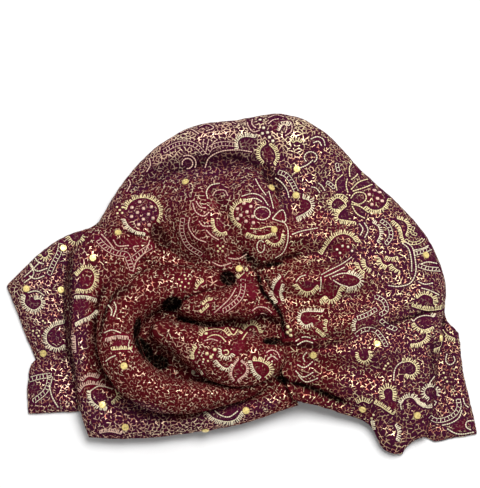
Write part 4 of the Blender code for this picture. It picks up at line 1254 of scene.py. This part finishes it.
@dataclass(frozen=True)
class GoldWork:
    """The gold thread of the flowers, curls and ribbons, laid stitch by stitch on the cloth.

    Attributes:
        thickness: Width of a stitch.
        height: How far a stitch stands up, as a share of its width.
        flatness: Height of its underside, as a share of its upper side.
        barrel: Length of its thick middle, as a share of the whole.
        overlap: Its length, as a share of its step.
        lift: How far its middle stands off the cloth.
        cord_step: Length of a step along a cord.
        tooth_step: Distance between two teeth.
        dot: Half length of a round stitch, as a share of the dot's radius.
        rail: How far beside a ladder's middle its rungs start, as a share of its width.
        tooth: A tooth's usual length, as a share of its reach.
        lean: How far a tooth usually leans, as a share of its reach.
        uneven: How much teeth differ in length, lean and width.
        uneven_size: How fast they differ, a pixel.
        kept: Least and greatest length of a stitch on the cloth, as shares of what shows.
    """

    thickness: float = 0.66 * MM
    height: float = 0.6
    flatness: float = 0.3
    barrel: float = 0.62
    overlap: float = 1.12
    lift: float = 0.08 * MM
    cord_step: float = 1.4 * MM
    tooth_step: float = 1.45 * MM
    dot: float = 0.9
    rail: float = 0.42
    tooth: float = 0.95
    lean: float = 0.16
    uneven: float = 0.5
    uneven_size: float = 1.7
    kept: tuple[float, float] = (0.4, 2.6)

    def stitch(self) -> tuple[np.ndarray, list[tuple[int, ...]]]:
        """Models one stitch: a short twist of thread, thick in the middle and flat below.

        Returns:
            Its vertices, a metre long along x, and its faces.
        """
        bpy.ops.object.select_all(action="DESELECT")
        bpy.ops.mesh.primitive_cylinder_add(vertices=5, radius=0.5, depth=self.barrel,
                                            end_fill_type="TRIFAN",
                                            rotation=(0.0, math.pi / 2, 0.0))
        obj = bpy.context.object
        bpy.ops.object.transform_apply(location=False, rotation=True, scale=False)
        _, y, z = points_of(obj.data).T
        for chosen, size in ((np.hypot(y, z) < 0.01, (1.0 / self.barrel, 1.0, 1.0)),
                             (z < -0.01, (1.0, 1.0, self.flatness))):
            with editing(obj, chosen, "VERT"):
                bpy.ops.transform.resize(value=size, center_override=(0.0, 0.0, 0.0))
        points = points_of(obj.data)
        faces = [tuple(face.vertices) for face in obj.data.polygons]
        bpy.data.objects.remove(obj)
        return points, faces

    def strokes(self) -> list[Stroke]:
        """Breaks every motif into stitches.

        Returns:
            For each stitch its two ends in pixels, its width in metres and its tone.
        """
        strokes = []
        for motif in MOTIFS:
            way, reach, tone = motif.thread.value, motif.reach, motif.tone
            if motif.thread is Thread.DOTS:
                half = self.dot * reach
                strokes += [((x - half, y), (x + half, y), 2.0 * reach * VIEW.pixel, tone)
                            for x, y in pixels(motif.path)]
                continue
            line, ladder = smooth_line(motif.path, 8), motif.thread is Thread.LADDER
            for side in (-0.5, 0.5) if ladder else (0.0,):
                strokes += self.cord(beside(line, side * reach), tone, way.cord)
            if way.reach:
                foot = beside(line, -self.rail * reach) if ladder else line
                strokes += self.teeth(foot, way.reach * reach, tone, way)
        return strokes

    def spaced(self, line: np.ndarray, step: float) -> np.ndarray:
        """Gives points at even steps along a line.

        Args:
            line: The line's pixels, one a row.
            step: The step in metres.

        Returns:
            The points.
        """
        walked = np.concatenate([[0.0], np.cumsum(np.linalg.norm(np.diff(line, axis=0), axis=1))])
        count = max(2, int(round(walked[-1] * VIEW.pixel / step)) + 1)
        marks = np.linspace(0.0, walked[-1], count)
        return np.stack([np.interp(marks, walked, line[:, k]) for k in (0, 1)], axis=1)

    def cord(self, line: np.ndarray, tone: Tone, wide: float) -> list[Stroke]:
        """Breaks a line into stitches laid end to end.

        Args:
            line: The line's pixels, one a row.
            tone: The thread's colour.
            wide: Width as a share of a stitch's usual width.

        Returns:
            The stitches.
        """
        marks = self.spaced(line, self.cord_step)
        return [(tuple(a), tuple(b), wide * self.thickness, tone)
                for a, b in zip(marks[:-1], marks[1:])]

    def teeth(self, line: np.ndarray, reach: float, tone: Tone, way: Working) -> list[Stroke]:
        """Sets stitches side by side across a line.

        Args:
            line: The line's pixels, one a row.
            reach: The teeth's length in pixels, to the left of the line's way.
            tone: The thread's colour.
            way: How the line is worked.

        Returns:
            The stitches.
        """
        marks = self.spaced(line, way.apart * self.tooth_step)
        vary = [self.uneven * noise.noise_vector(Vector((self.uneven_size * x,
                                                         self.uneven_size * y, 0.3)))
                for x, y in marks]
        return [(tuple(a), tuple(a + (self.tooth + v.x) * (b - a) + (self.lean + v.y) * reach * w),
                 (1.0 + v.z) * way.wide * self.thickness, tone)
                for a, b, v, w in zip(marks, beside(marks, reach), vary, ways_of(marks))]

    def lay(self, carriers: list[ClothPiece], groups: Groups) -> None:
        """Lays every stitch on the piece of cloth that the photograph shows there.

        Args:
            carriers: The finished cloth pieces.
            groups: The shared node groups.
        """
        laid: dict[str, list] = {piece.node: [] for piece in carriers}
        for start, end, wide, tone in self.strokes():
            middle = ((start[0] + end[0]) / 2, (start[1] + end[1]) / 2)
            found = [seen_at(carriers, *pixel) for pixel in (start, middle, end)]
            if None in found or len({node for node, _, _ in found}) > 1:
                continue
            (node, first, out_1), (_, centre, out_2), (_, last, out_3) = found
            along = last - first
            flat = math.hypot(end[0] - start[0], end[1] - start[1]) * VIEW.pixel
            if not self.kept[0] * flat < along.length < self.kept[1] * flat:
                continue
            across = (out_1 + out_2 + out_3).normalized().cross(along).normalized()
            up = along.cross(across).normalized()
            turn = np.array((along * self.overlap, across * wide, up * wide * self.height)).T
            place = np.array((first + 2 * centre + last) / 4 + up * self.lift)
            laid[node].append((turn, place, tone.value))
        metals = [FoilFinish(name, colour, 0.36, 0.05 * MM, 0.1).make(groups) for name, colour in (
            ("pale_gold_thread", PALETTE.pale_gold), ("yellow_gold_thread", PALETTE.yellow_gold),
            ("rose_gold_thread", PALETTE.rose_gold))]
        shape, faces = self.stitch()
        for node, stitches in laid.items():
            if stitches:
                self.gather(f"{node}_gold_work", stitches, shape, faces, metals)

    def gather(self, name: str, stitches: list, shape: np.ndarray,
               faces: list[tuple[int, ...]], metals: list[bpy.types.Material]) -> None:
        """Makes one piece of all the stitches on a piece of cloth.

        Args:
            name: The piece's name.
            stitches: Turn, place and tone of each stitch.
            shape: One stitch's vertices.
            faces: One stitch's faces.
            metals: The thread's materials, in the order of the tones.
        """
        points = np.concatenate([shape @ turn.T + place for turn, place, _ in stitches])
        mesh = bpy.data.meshes.new(name)
        mesh.from_pydata(points.tolist(), [], [
            tuple(i + k * len(shape) for i in face)
            for k in range(len(stitches)) for face in faces])
        mesh.polygons.foreach_set("material_index", np.repeat(
            [tone for _, _, tone in stitches], len(faces)).astype(np.int32))
        for metal in metals:
            mesh.materials.append(metal)
        obj = add_object(name, mesh)
        with editing(obj):
            bpy.ops.mesh.normals_make_consistent(inside=False)
        bpy.ops.object.shade_smooth()
        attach(obj, "root")
        LOG.info("%s: %d stitches, %d triangles", name, len(stitches), triangles_in(mesh))


# ---------------------------------------------------------------- cloth pieces


class Shell(Enum):
    """How a piece's node is opened out before it is refined."""

    OPEN = "outer face only, which then gets its own wall"
    CLOSED = "kept whole"


@dataclass(frozen=True)
class Cut:
    """The flat cut of a sheet, before it was sewn, and how it is held."""

    width: float
    length: float
    area: float
    held: str
    rests_on: tuple[str, ...]


@dataclass
class ClothPiece:
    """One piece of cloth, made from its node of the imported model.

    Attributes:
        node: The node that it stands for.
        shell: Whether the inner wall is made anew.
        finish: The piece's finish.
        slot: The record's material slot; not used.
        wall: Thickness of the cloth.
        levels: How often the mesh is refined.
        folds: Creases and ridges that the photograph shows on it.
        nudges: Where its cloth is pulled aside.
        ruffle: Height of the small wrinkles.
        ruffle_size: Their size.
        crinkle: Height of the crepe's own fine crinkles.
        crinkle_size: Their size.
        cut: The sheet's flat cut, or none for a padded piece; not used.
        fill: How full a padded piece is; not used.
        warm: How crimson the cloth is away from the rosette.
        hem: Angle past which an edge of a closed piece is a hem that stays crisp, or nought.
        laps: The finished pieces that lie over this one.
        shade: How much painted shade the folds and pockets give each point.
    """

    node: str
    shell: Shell
    finish: BrocadeFinish
    slot: str
    wall: float = 1.8 * MM
    levels: int = 2
    folds: tuple[Fold, ...] = ()
    nudges: tuple[Nudge, ...] = ()
    ruffle: float = 0.35 * MM
    ruffle_size: float = 9.0 * MM
    crinkle: float = 0.26 * MM
    crinkle_size: float = 2.4 * MM
    cut: Cut | None = None
    fill: float = 0.6
    warm: float = 0.0
    hem: float = 0.0
    laps: list[ClothPiece] = field(init=False, default_factory=list)
    obj: bpy.types.Object = field(init=False, default=None)
    tree: BVHTree = field(init=False, default=None)
    shade: np.ndarray = field(init=False, default=None)

    def build(self, laps: list[ClothPiece], studs: FoilStuds, groups: Groups) -> None:
        """Builds and dresses the piece.

        Args:
            laps: The finished pieces that lie over this one.
            studs: The studs, some of which this piece carries.
            groups: The shared node groups.
        """
        self.laps = list(laps)
        self.take_node()
        self.mark_edges()
        self.unwrap()
        self.refine()
        self.sculpt()
        self.tuck_under()
        studs.seat(self.obj)
        self.hollows()
        if self.shell is Shell.OPEN:
            self.give_wall()
        self.dress(groups)
        self.tree = tree_of(self.obj)
        LOG.info("%s: %d triangles, %.4f square metres a side", self.obj.name,
                 triangles_in(self.obj.data), sum(p.area for p in self.obj.data.polygons) / 2)

    def take_node(self) -> None:
        """Copies the node's mesh, merges it and keeps the walls that are wanted."""
        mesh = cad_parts[self.node].data.copy()
        mesh.materials.clear()
        self.obj = add_object(f"{self.node}_cloth", mesh)
        with editing(self.obj):
            bpy.ops.mesh.remove_doubles(threshold=MERGE)
            bpy.ops.mesh.tris_convert_to_quads(face_threshold=FLAT_PAIR,
                                               shape_threshold=FLAT_PAIR)
        if self.shell is Shell.OPEN:
            with editing(self.obj, [face.normal.z < INNER_FACE for face in mesh.polygons]):
                bpy.ops.mesh.delete(type="FACE")

    def mark_edges(self) -> None:
        """Marks what refining may not round, and where a closed piece's flat layout is cut."""
        work = bmesh.new()
        work.from_mesh(self.obj.data)
        corner = work.verts.layers.float.new("crease_vert")
        hem = work.edges.layers.float.new("crease_edge")
        rims = {edge for edge in work.edges
                if edge.is_boundary or (self.hem and edge.calc_face_angle(0.0) > self.hem)}
        for edge in rims:
            edge[hem] = HEM_CREASE
        for vert in work.verts:
            ends = [edge.other_vert(vert).co for edge in vert.link_edges if edge in rims]
            if len(ends) == 2:
                turn = (ends[0] - vert.co).angle(ends[1] - vert.co, math.pi)
                vert[corner] = float(turn < CORNER)
        if self.shell is Shell.CLOSED:
            for edge in work.edges:
                edge.seam = len({face.normal.z > UNDER_FACE for face in edge.link_faces}) > 1
        work.to_mesh(self.obj.data)
        work.free()

    def unwrap(self) -> None:
        """Lays the mesh flat at the cloth's own size, so that a unit is a metre."""
        mesh = self.obj.data
        mesh.uv_layers.new(name="UVMap")
        with editing(self.obj):
            bpy.ops.uv.unwrap(method="CONFORMAL", margin=0.02)
        layer = mesh.uv_layers["UVMap"]
        flat = np.empty(len(mesh.loops) * 2)
        layer.data.foreach_get("uv", flat)
        corners = flat.reshape(-1, 2)
        ratios = []
        for face in mesh.polygons:
            x, y = corners[list(face.loop_indices)].T
            area = 0.5 * abs(np.dot(x, np.roll(y, -1)) - np.dot(y, np.roll(x, -1)))
            if area > 1e-12:
                ratios.append(math.sqrt(face.area / area))
        layer.data.foreach_set("uv", flat * float(np.median(ratios)))

    def refine(self) -> None:
        """Smooths the facets into cloth, and divides the seen faces that are still coarse."""
        apply_modifier(self.obj, "SUBSURF", levels=self.levels, render_levels=self.levels)
        eye, chosen = Vector(VIEW.axes()[0]), []
        for face in self.obj.data.polygons:
            way = (eye - face.center).normalized()
            start = face.center + CLEAR * way
            chosen.append(face.area >= FINE_FACE and face.normal.dot(way) >= EDGE_ON
                          and not any(lap.tree.ray_cast(start, way)[0] for lap in self.laps))
        with editing(self.obj, chosen):
            bpy.ops.mesh.subdivide(number_cuts=1)

    def sculpt(self) -> None:
        """Presses the folds and small wrinkles into the cloth, works out the shade painted by its
        folds and pockets, and colours it.
        """
        mesh = self.obj.data
        points, normals = points_of(mesh), vectors_of(mesh.vertex_normals, "vector")
        for nudge in self.nudges:
            points = nudge.pull(points)
        at = VIEW.project(points)
        facing = smoothstep(0.0, 0.35, normals @ VIEW.axes()[3])
        rise, shade = np.zeros(len(points)), np.zeros(len(points))
        for fold in self.folds:
            height, dark = fold.press(at)
            rise += height
            shade = np.maximum(shade, dark)
        # Painted shade in the hollows and in the valleys in half shade
        for pocket in PAINTED_SHADE_POCKETS:
            shade = np.maximum(shade, pocket.strength * pocket.share(at))
        seed = Vector((len(self.node), 3.0, 7.0))
        small, finer, fine = (
            np.array([noise.noise(Vector(p) / size * times + seed) for p in points])
            for size, times in ((self.ruffle_size, 1.0), (self.ruffle_size, 2.7),
                                (self.crinkle_size, 1.0)))
        lift = rise * facing + self.ruffle * (small + 0.5 * finer) + self.crinkle * fine
        points = points + normals * lift[:, None]
        points[:, 2] = np.maximum(points[:, 2], 0.0)
        move_points(mesh, points)
        self.shade = shade * facing
        self.colour_up(at, facing)

    def colour_up(self, at: np.ndarray, facing: np.ndarray) -> None:
        """Paints how crimson the cloth is, where its net is left off, where a highlight is painted
        on it, and where it is golden.

        Args:
            at: The pixel of each vertex.
            facing: How far each vertex faces the photograph, from 0 to 1.
        """
        away = np.linalg.norm((at - ROSETTE_MIDDLE) / ROSETTE_SHAPE, axis=1)
        warm = self.warm + (1 - self.warm) * smoothstep(*CRIMSON_REACH, away)
        plain = np.max([motif.bare(at) for motif in MOTIFS], axis=0)
        for patch in PATCHES:
            share = patch.share(at)
            plain = np.maximum(plain, PATCH_PLAIN * patch.strength * share)
            warm = warm + share * (patch.warm - warm)
        # Painted highlight on the net, kept to faces that face the camera
        gleam = np.max([area.strength * area.share(at) for area in GLEAMS], axis=0)
        for name, values in (("warm", warm), ("plain", plain * facing), ("gleam", gleam * facing),
                             ("golden", GOLDEN * smoothstep(*GOLDEN_SIDE, at[:, 0]))):
            paint(self.obj.data, name, values)

    def tuck_under(self) -> None:
        """Keeps the cloth below the pieces that lie over it."""
        points = points_of(self.obj.data)
        for lap in self.laps:
            near = in_box(points[:, :2], points_of(lap.obj.data)[:, :2])
            for index in np.flatnonzero(near):
                x, y, z = points[index]
                hit = lap.tree.ray_cast(Vector((x, y, -1.0)), Vector((0.0, 0.0, 1.0)))[0]
                if hit is not None and z > hit.z - LAP_GAP:
                    points[index, 2] = max(hit.z - LAP_GAP, LEAST_HEIGHT)
        move_points(self.obj.data, points)

    def hollows(self) -> None:
        """Paints shade into the colour where a point lies deep in a fold or beside a piece that
        laps it.
        """
        mesh = self.obj.data
        points, normals = points_of(mesh), vectors_of(mesh.vertex_normals, "vector")
        pairs = np.empty(len(mesh.edges) * 2, np.int64)
        mesh.edges.foreach_get("vertices", pairs)
        first, second = pairs.reshape(-1, 2).T
        count = np.maximum(np.bincount(pairs, minlength=len(points)), 1.0)[:, None]
        even = points.copy()
        for _ in range(FOLD_PASSES):
            total = np.stack([
                np.bincount(first, even[second, k], len(points))
                + np.bincount(second, even[first, k], len(points)) for k in range(3)], axis=1)
            even = 0.5 * even + 0.5 * total / count
        depth = ((even - points) * normals).sum(axis=1)
        shade = np.maximum(self.shade, FOLD_SHADE * smoothstep(0.05 * MM, FOLD_DEPTH, depth))
        for lap in self.laps:
            near = in_box(points, points_of(lap.obj.data), LAP_REACH)
            for index in np.flatnonzero(near):
                far = lap.tree.find_nearest(Vector(points[index]), LAP_REACH)[3]
                if far is not None:
                    close = LAP_SHADE * (1.0 - far / LAP_REACH) ** LAP_FADE
                    shade[index] = max(shade[index], close)
        at = VIEW.project(points)
        facing = smoothstep(0.1, 0.5, normals @ VIEW.axes()[3])
        # Painted shade along the lines where one fold meets the next
        for seam in PAINTED_SHADE_LINES:
            shade = np.maximum(shade, facing * seam.press(at)[1])
        # Painted light: lifts the painted shade in these areas beside a lap
        for area in LIT:
            shade = shade * (1.0 - area.strength * area.share(at))
        # Stores the painted shade for the finish, which darkens the colour with it
        paint(mesh, "painted_shade", shade)

    def give_wall(self) -> None:
        """Gives an opened piece its thickness, with few faces inside, and rounds its hem."""
        inner = self.obj.vertex_groups.new(name="inner wall")
        apply_modifier(self.obj, "SOLIDIFY", thickness=self.wall, offset=-1.0, use_rim=True,
                       shell_vertex_group=inner.name)
        mesh = self.obj.data
        inside = np.array([any(g.group == inner.index for g in v.groups) for v in mesh.vertices])
        with editing(self.obj, [inside[list(face.vertices)].all() for face in mesh.polygons]):
            bpy.ops.mesh.decimate(ratio=INNER_SHARE)
        self.obj.vertex_groups.clear()
        apply_modifier(self.obj, "BEVEL", width=HEM_BEVEL * self.wall, segments=1,
                       limit_method="ANGLE", angle_limit=SHARP)
        points = points_of(self.obj.data)
        points[:, 2] = np.maximum(points[:, 2], LEAST_HEIGHT)
        move_points(self.obj.data, points)

    def dress(self, groups: Groups) -> None:
        """Puts on the finish, smooths its shading, hides its node and hangs the piece under the
        root.

        Args:
            groups: The shared node groups.
        """
        self.obj.data.materials.append(self.finish.make(groups))
        choose_only(self.obj)
        bpy.ops.object.shade_smooth_by_angle(angle=SHARP)
        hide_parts(self.node)
        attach(self.obj, "root")


def seen_at(pieces: list[ClothPiece], x: float, y: float) -> tuple[str, Vector, Vector] | None:
    """Finds the cloth that the photograph shows at a pixel.

    Args:
        pieces: The finished cloth pieces.
        x: The pixel's column.
        y: The pixel's row.

    Returns:
        The piece's node, the place and the way it faces there, or none.
    """
    eye, way = VIEW.ray(x, y)
    best = None
    for piece in pieces:
        place, normal, _, far = piece.tree.ray_cast(eye, way)
        if place is not None and (best is None or far < best[0]):
            best = (far, piece.node, place, normal)
    return best[1:] if best else None


# ---------------------------------------------------------------- studs


@dataclass
class FoilStuds:
    """The foil discs pressed on the cloth, which keep their nodes.

    Attributes:
        sunk: How far under a disc the cloth lies.
        flat_radius: Radius of the cloth that a disc holds flat.
        blend_radius: Radius past which the cloth is free.
        reach: How far from a disc its cloth is looked for, to each side.
        depth: How far from the disc's plane the cloth follows it.
        names: The discs' nodes.
        waiting: Those that aren't seated yet.
    """

    sunk: float = 0.12 * MM
    flat_radius: float = 2.9 * MM
    blend_radius: float = 6.0 * MM
    reach: float = 6.0 * MM
    depth: float = 5.0 * MM
    names: list[str] = field(init=False)
    waiting: list[str] = field(init=False)

    def __post_init__(self) -> None:
        """Lists the discs."""
        self.names = sorted(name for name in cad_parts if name.startswith("foil_stud"))
        self.waiting = list(self.names)

    def lie_of(self, name: str) -> tuple[np.ndarray, np.ndarray]:
        """Finds the plane that a disc lies on.

        Args:
            name: The disc's node.

        Returns:
            The middle of its underside, and its outward direction.
        """
        points = points_of(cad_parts[name].data)
        centre = points.mean(axis=0)
        normal = np.linalg.svd(points - centre)[2][2]
        if normal[2] < 0:
            normal = -normal
        return centre + ((points - centre) @ normal).min() * normal, normal

    def seat(self, cloth: bpy.types.Object) -> None:
        """Brings the cloth up to the discs that it carries.

        Args:
            cloth: The piece of cloth.
        """
        tree, points = tree_of(cloth), points_of(cloth.data)
        for name in list(self.waiting):
            base, normal = self.lie_of(name)
            start = Vector(base + self.reach * normal)
            if tree.ray_cast(start, Vector(-normal), 2 * self.reach)[0] is None:
                continue
            self.waiting.remove(name)
            offset = points - base
            height = offset @ normal
            away = np.linalg.norm(offset - height[:, None] * normal, axis=1)
            near = (away < self.blend_radius) & (np.abs(height) < self.depth)
            hold = smoothstep(self.blend_radius, self.flat_radius, away) * near
            points += (hold * (-self.sunk - height))[:, None] * normal
        move_points(cloth.data, points)

    def dress(self, groups: Groups) -> None:
        """Gives every disc its foil.

        Args:
            groups: The shared node groups.
        """
        foil = FoilFinish("gold_foil", PALETTE.foil).make(groups)
        for name in self.names:
            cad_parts[name].data.materials.clear()
            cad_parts[name].data.materials.append(foil)
        LOG.info("foil studs: %d, %d not seated", len(self.names), len(self.waiting))


# ---------------------------------------------------------------- the studio


@dataclass(frozen=True)
class Studio:
    """A white table under soft light, as bright as the photograph's."""

    floor_size: float = 6.0
    floor_drop: float = 0.3 * MM
    floor_roughness: float = 0.8
    world: float = 0.40
    key_power: float = 19.0
    key_size: float = 0.7
    key_place: tuple[float, float, float] = (0.30, 0.44, 1.30)

    def build(self) -> None:
        """Adds the floor, the lights and the surroundings."""
        bpy.ops.mesh.primitive_plane_add(size=self.floor_size,
                                         location=(0.0, 0.0, -self.floor_drop))
        floor = bpy.context.object
        floor.name = "table"
        material, desk, shader = new_material("white_table")
        desk.feed(shader, {"Base Color": PALETTE.table, "Roughness": self.floor_roughness})
        floor.data.materials.append(material)
        world = bpy.data.worlds.new("soft_room")
        world.use_nodes = True
        background = world.node_tree.nodes["Background"]
        Desk(world.node_tree).feed(background, {"Color": PALETTE.white, "Strength": self.world})
        bpy.ops.object.light_add(type="AREA", location=self.key_place)
        key = bpy.context.object
        key.name = "soft_key"
        key.data.energy = self.key_power
        key.data.size = self.key_size
        key.rotation_euler = (-Vector(self.key_place)).to_track_quat("-Z", "Y").to_euler()
        scene = bpy.context.scene
        scene.world = world
        scene.view_settings.view_transform = "Standard"
        scene.view_settings.look = "None"
        scene.view_settings.exposure = 0.0


# ---------------------------------------------------------------- the hat


def cloth_pieces() -> list[ClothPiece]:
    """Lists the hat's cloth from the top one down.

    Returns:
        The pieces, in the order in which they are made.
    """
    roll = BrocadeFinish("crimson_roll", cells=440.0, thread_width=0.090, gaps=0.495)
    band = BrocadeFinish("band_brocade", cells=420.0, thread_width=0.088, gaps=0.465)
    crown = BrocadeFinish("crown_brocade", cells=490.0, thread_width=0.096, gaps=0.45)
    return [
        ClothPiece("rosette_upper_fold", Shell.CLOSED, roll, "crimson_brocade", warm=0.7,
                   levels=3, ruffle=0.25 * MM, ruffle_size=6 * MM, nudges=UPPER_FOLD_NUDGES),
        ClothPiece("rosette_lower_fold", Shell.CLOSED, roll, "crimson_brocade", warm=0.5,
                   levels=3, ruffle=0.3 * MM, ruffle_size=6 * MM, folds=LOWER_FOLD_FOLDS),
        ClothPiece("rosette_roll", Shell.CLOSED, roll, "crimson_brocade", warm=0.7,
                   levels=3, ruffle=0.4 * MM, ruffle_size=7 * MM),
        ClothPiece("brow_band_right", Shell.OPEN, band, "plum_brocade", folds=RIGHT_BAND_FOLDS,
                   cut=Cut(0.12, 0.08, 0.0072, "folded", ("crown_cloth",))),
        ClothPiece("brow_band_left", Shell.OPEN, band, "plum_brocade", folds=LEFT_BAND_FOLDS,
                   cut=Cut(0.17, 0.14, 0.0165, "folded", ("crown_cloth",))),
        ClothPiece("crown", Shell.OPEN, crown, "plum_brocade", folds=CROWN_FOLDS,
                   wall=1.6 * MM, ruffle=0.5 * MM, ruffle_size=10 * MM,
                   cut=Cut(0.24, 0.22, 0.042, "gathered", ("back_panel_cloth",))),
        ClothPiece("back_panel", Shell.CLOSED, crown, "plum_brocade",
                   levels=3, ruffle=0.4 * MM, hem=math.radians(50.0),
                   cut=Cut(0.29, 0.21, 0.042, "laid", ())),
    ]


def main() -> None:
    """Builds the view, the cloth from the top down, the studs and the studio."""
    logging.basicConfig(level=logging.INFO, format="%(message)s")
    noise.seed_set(STITCH_SEED)
    VIEW.make_camera()
    groups = {"net": gold_net_group(), "weave": weave_group(), "wear": wear_group()}
    studs = FoilStuds()
    done: list[ClothPiece] = []
    for piece in cloth_pieces():
        piece.build(done, studs, groups)
        done.append(piece)
    GoldWork().lay(done, groups)
    studs.dress(groups)
    Studio().build()


if __name__ == "__main__":
    main()
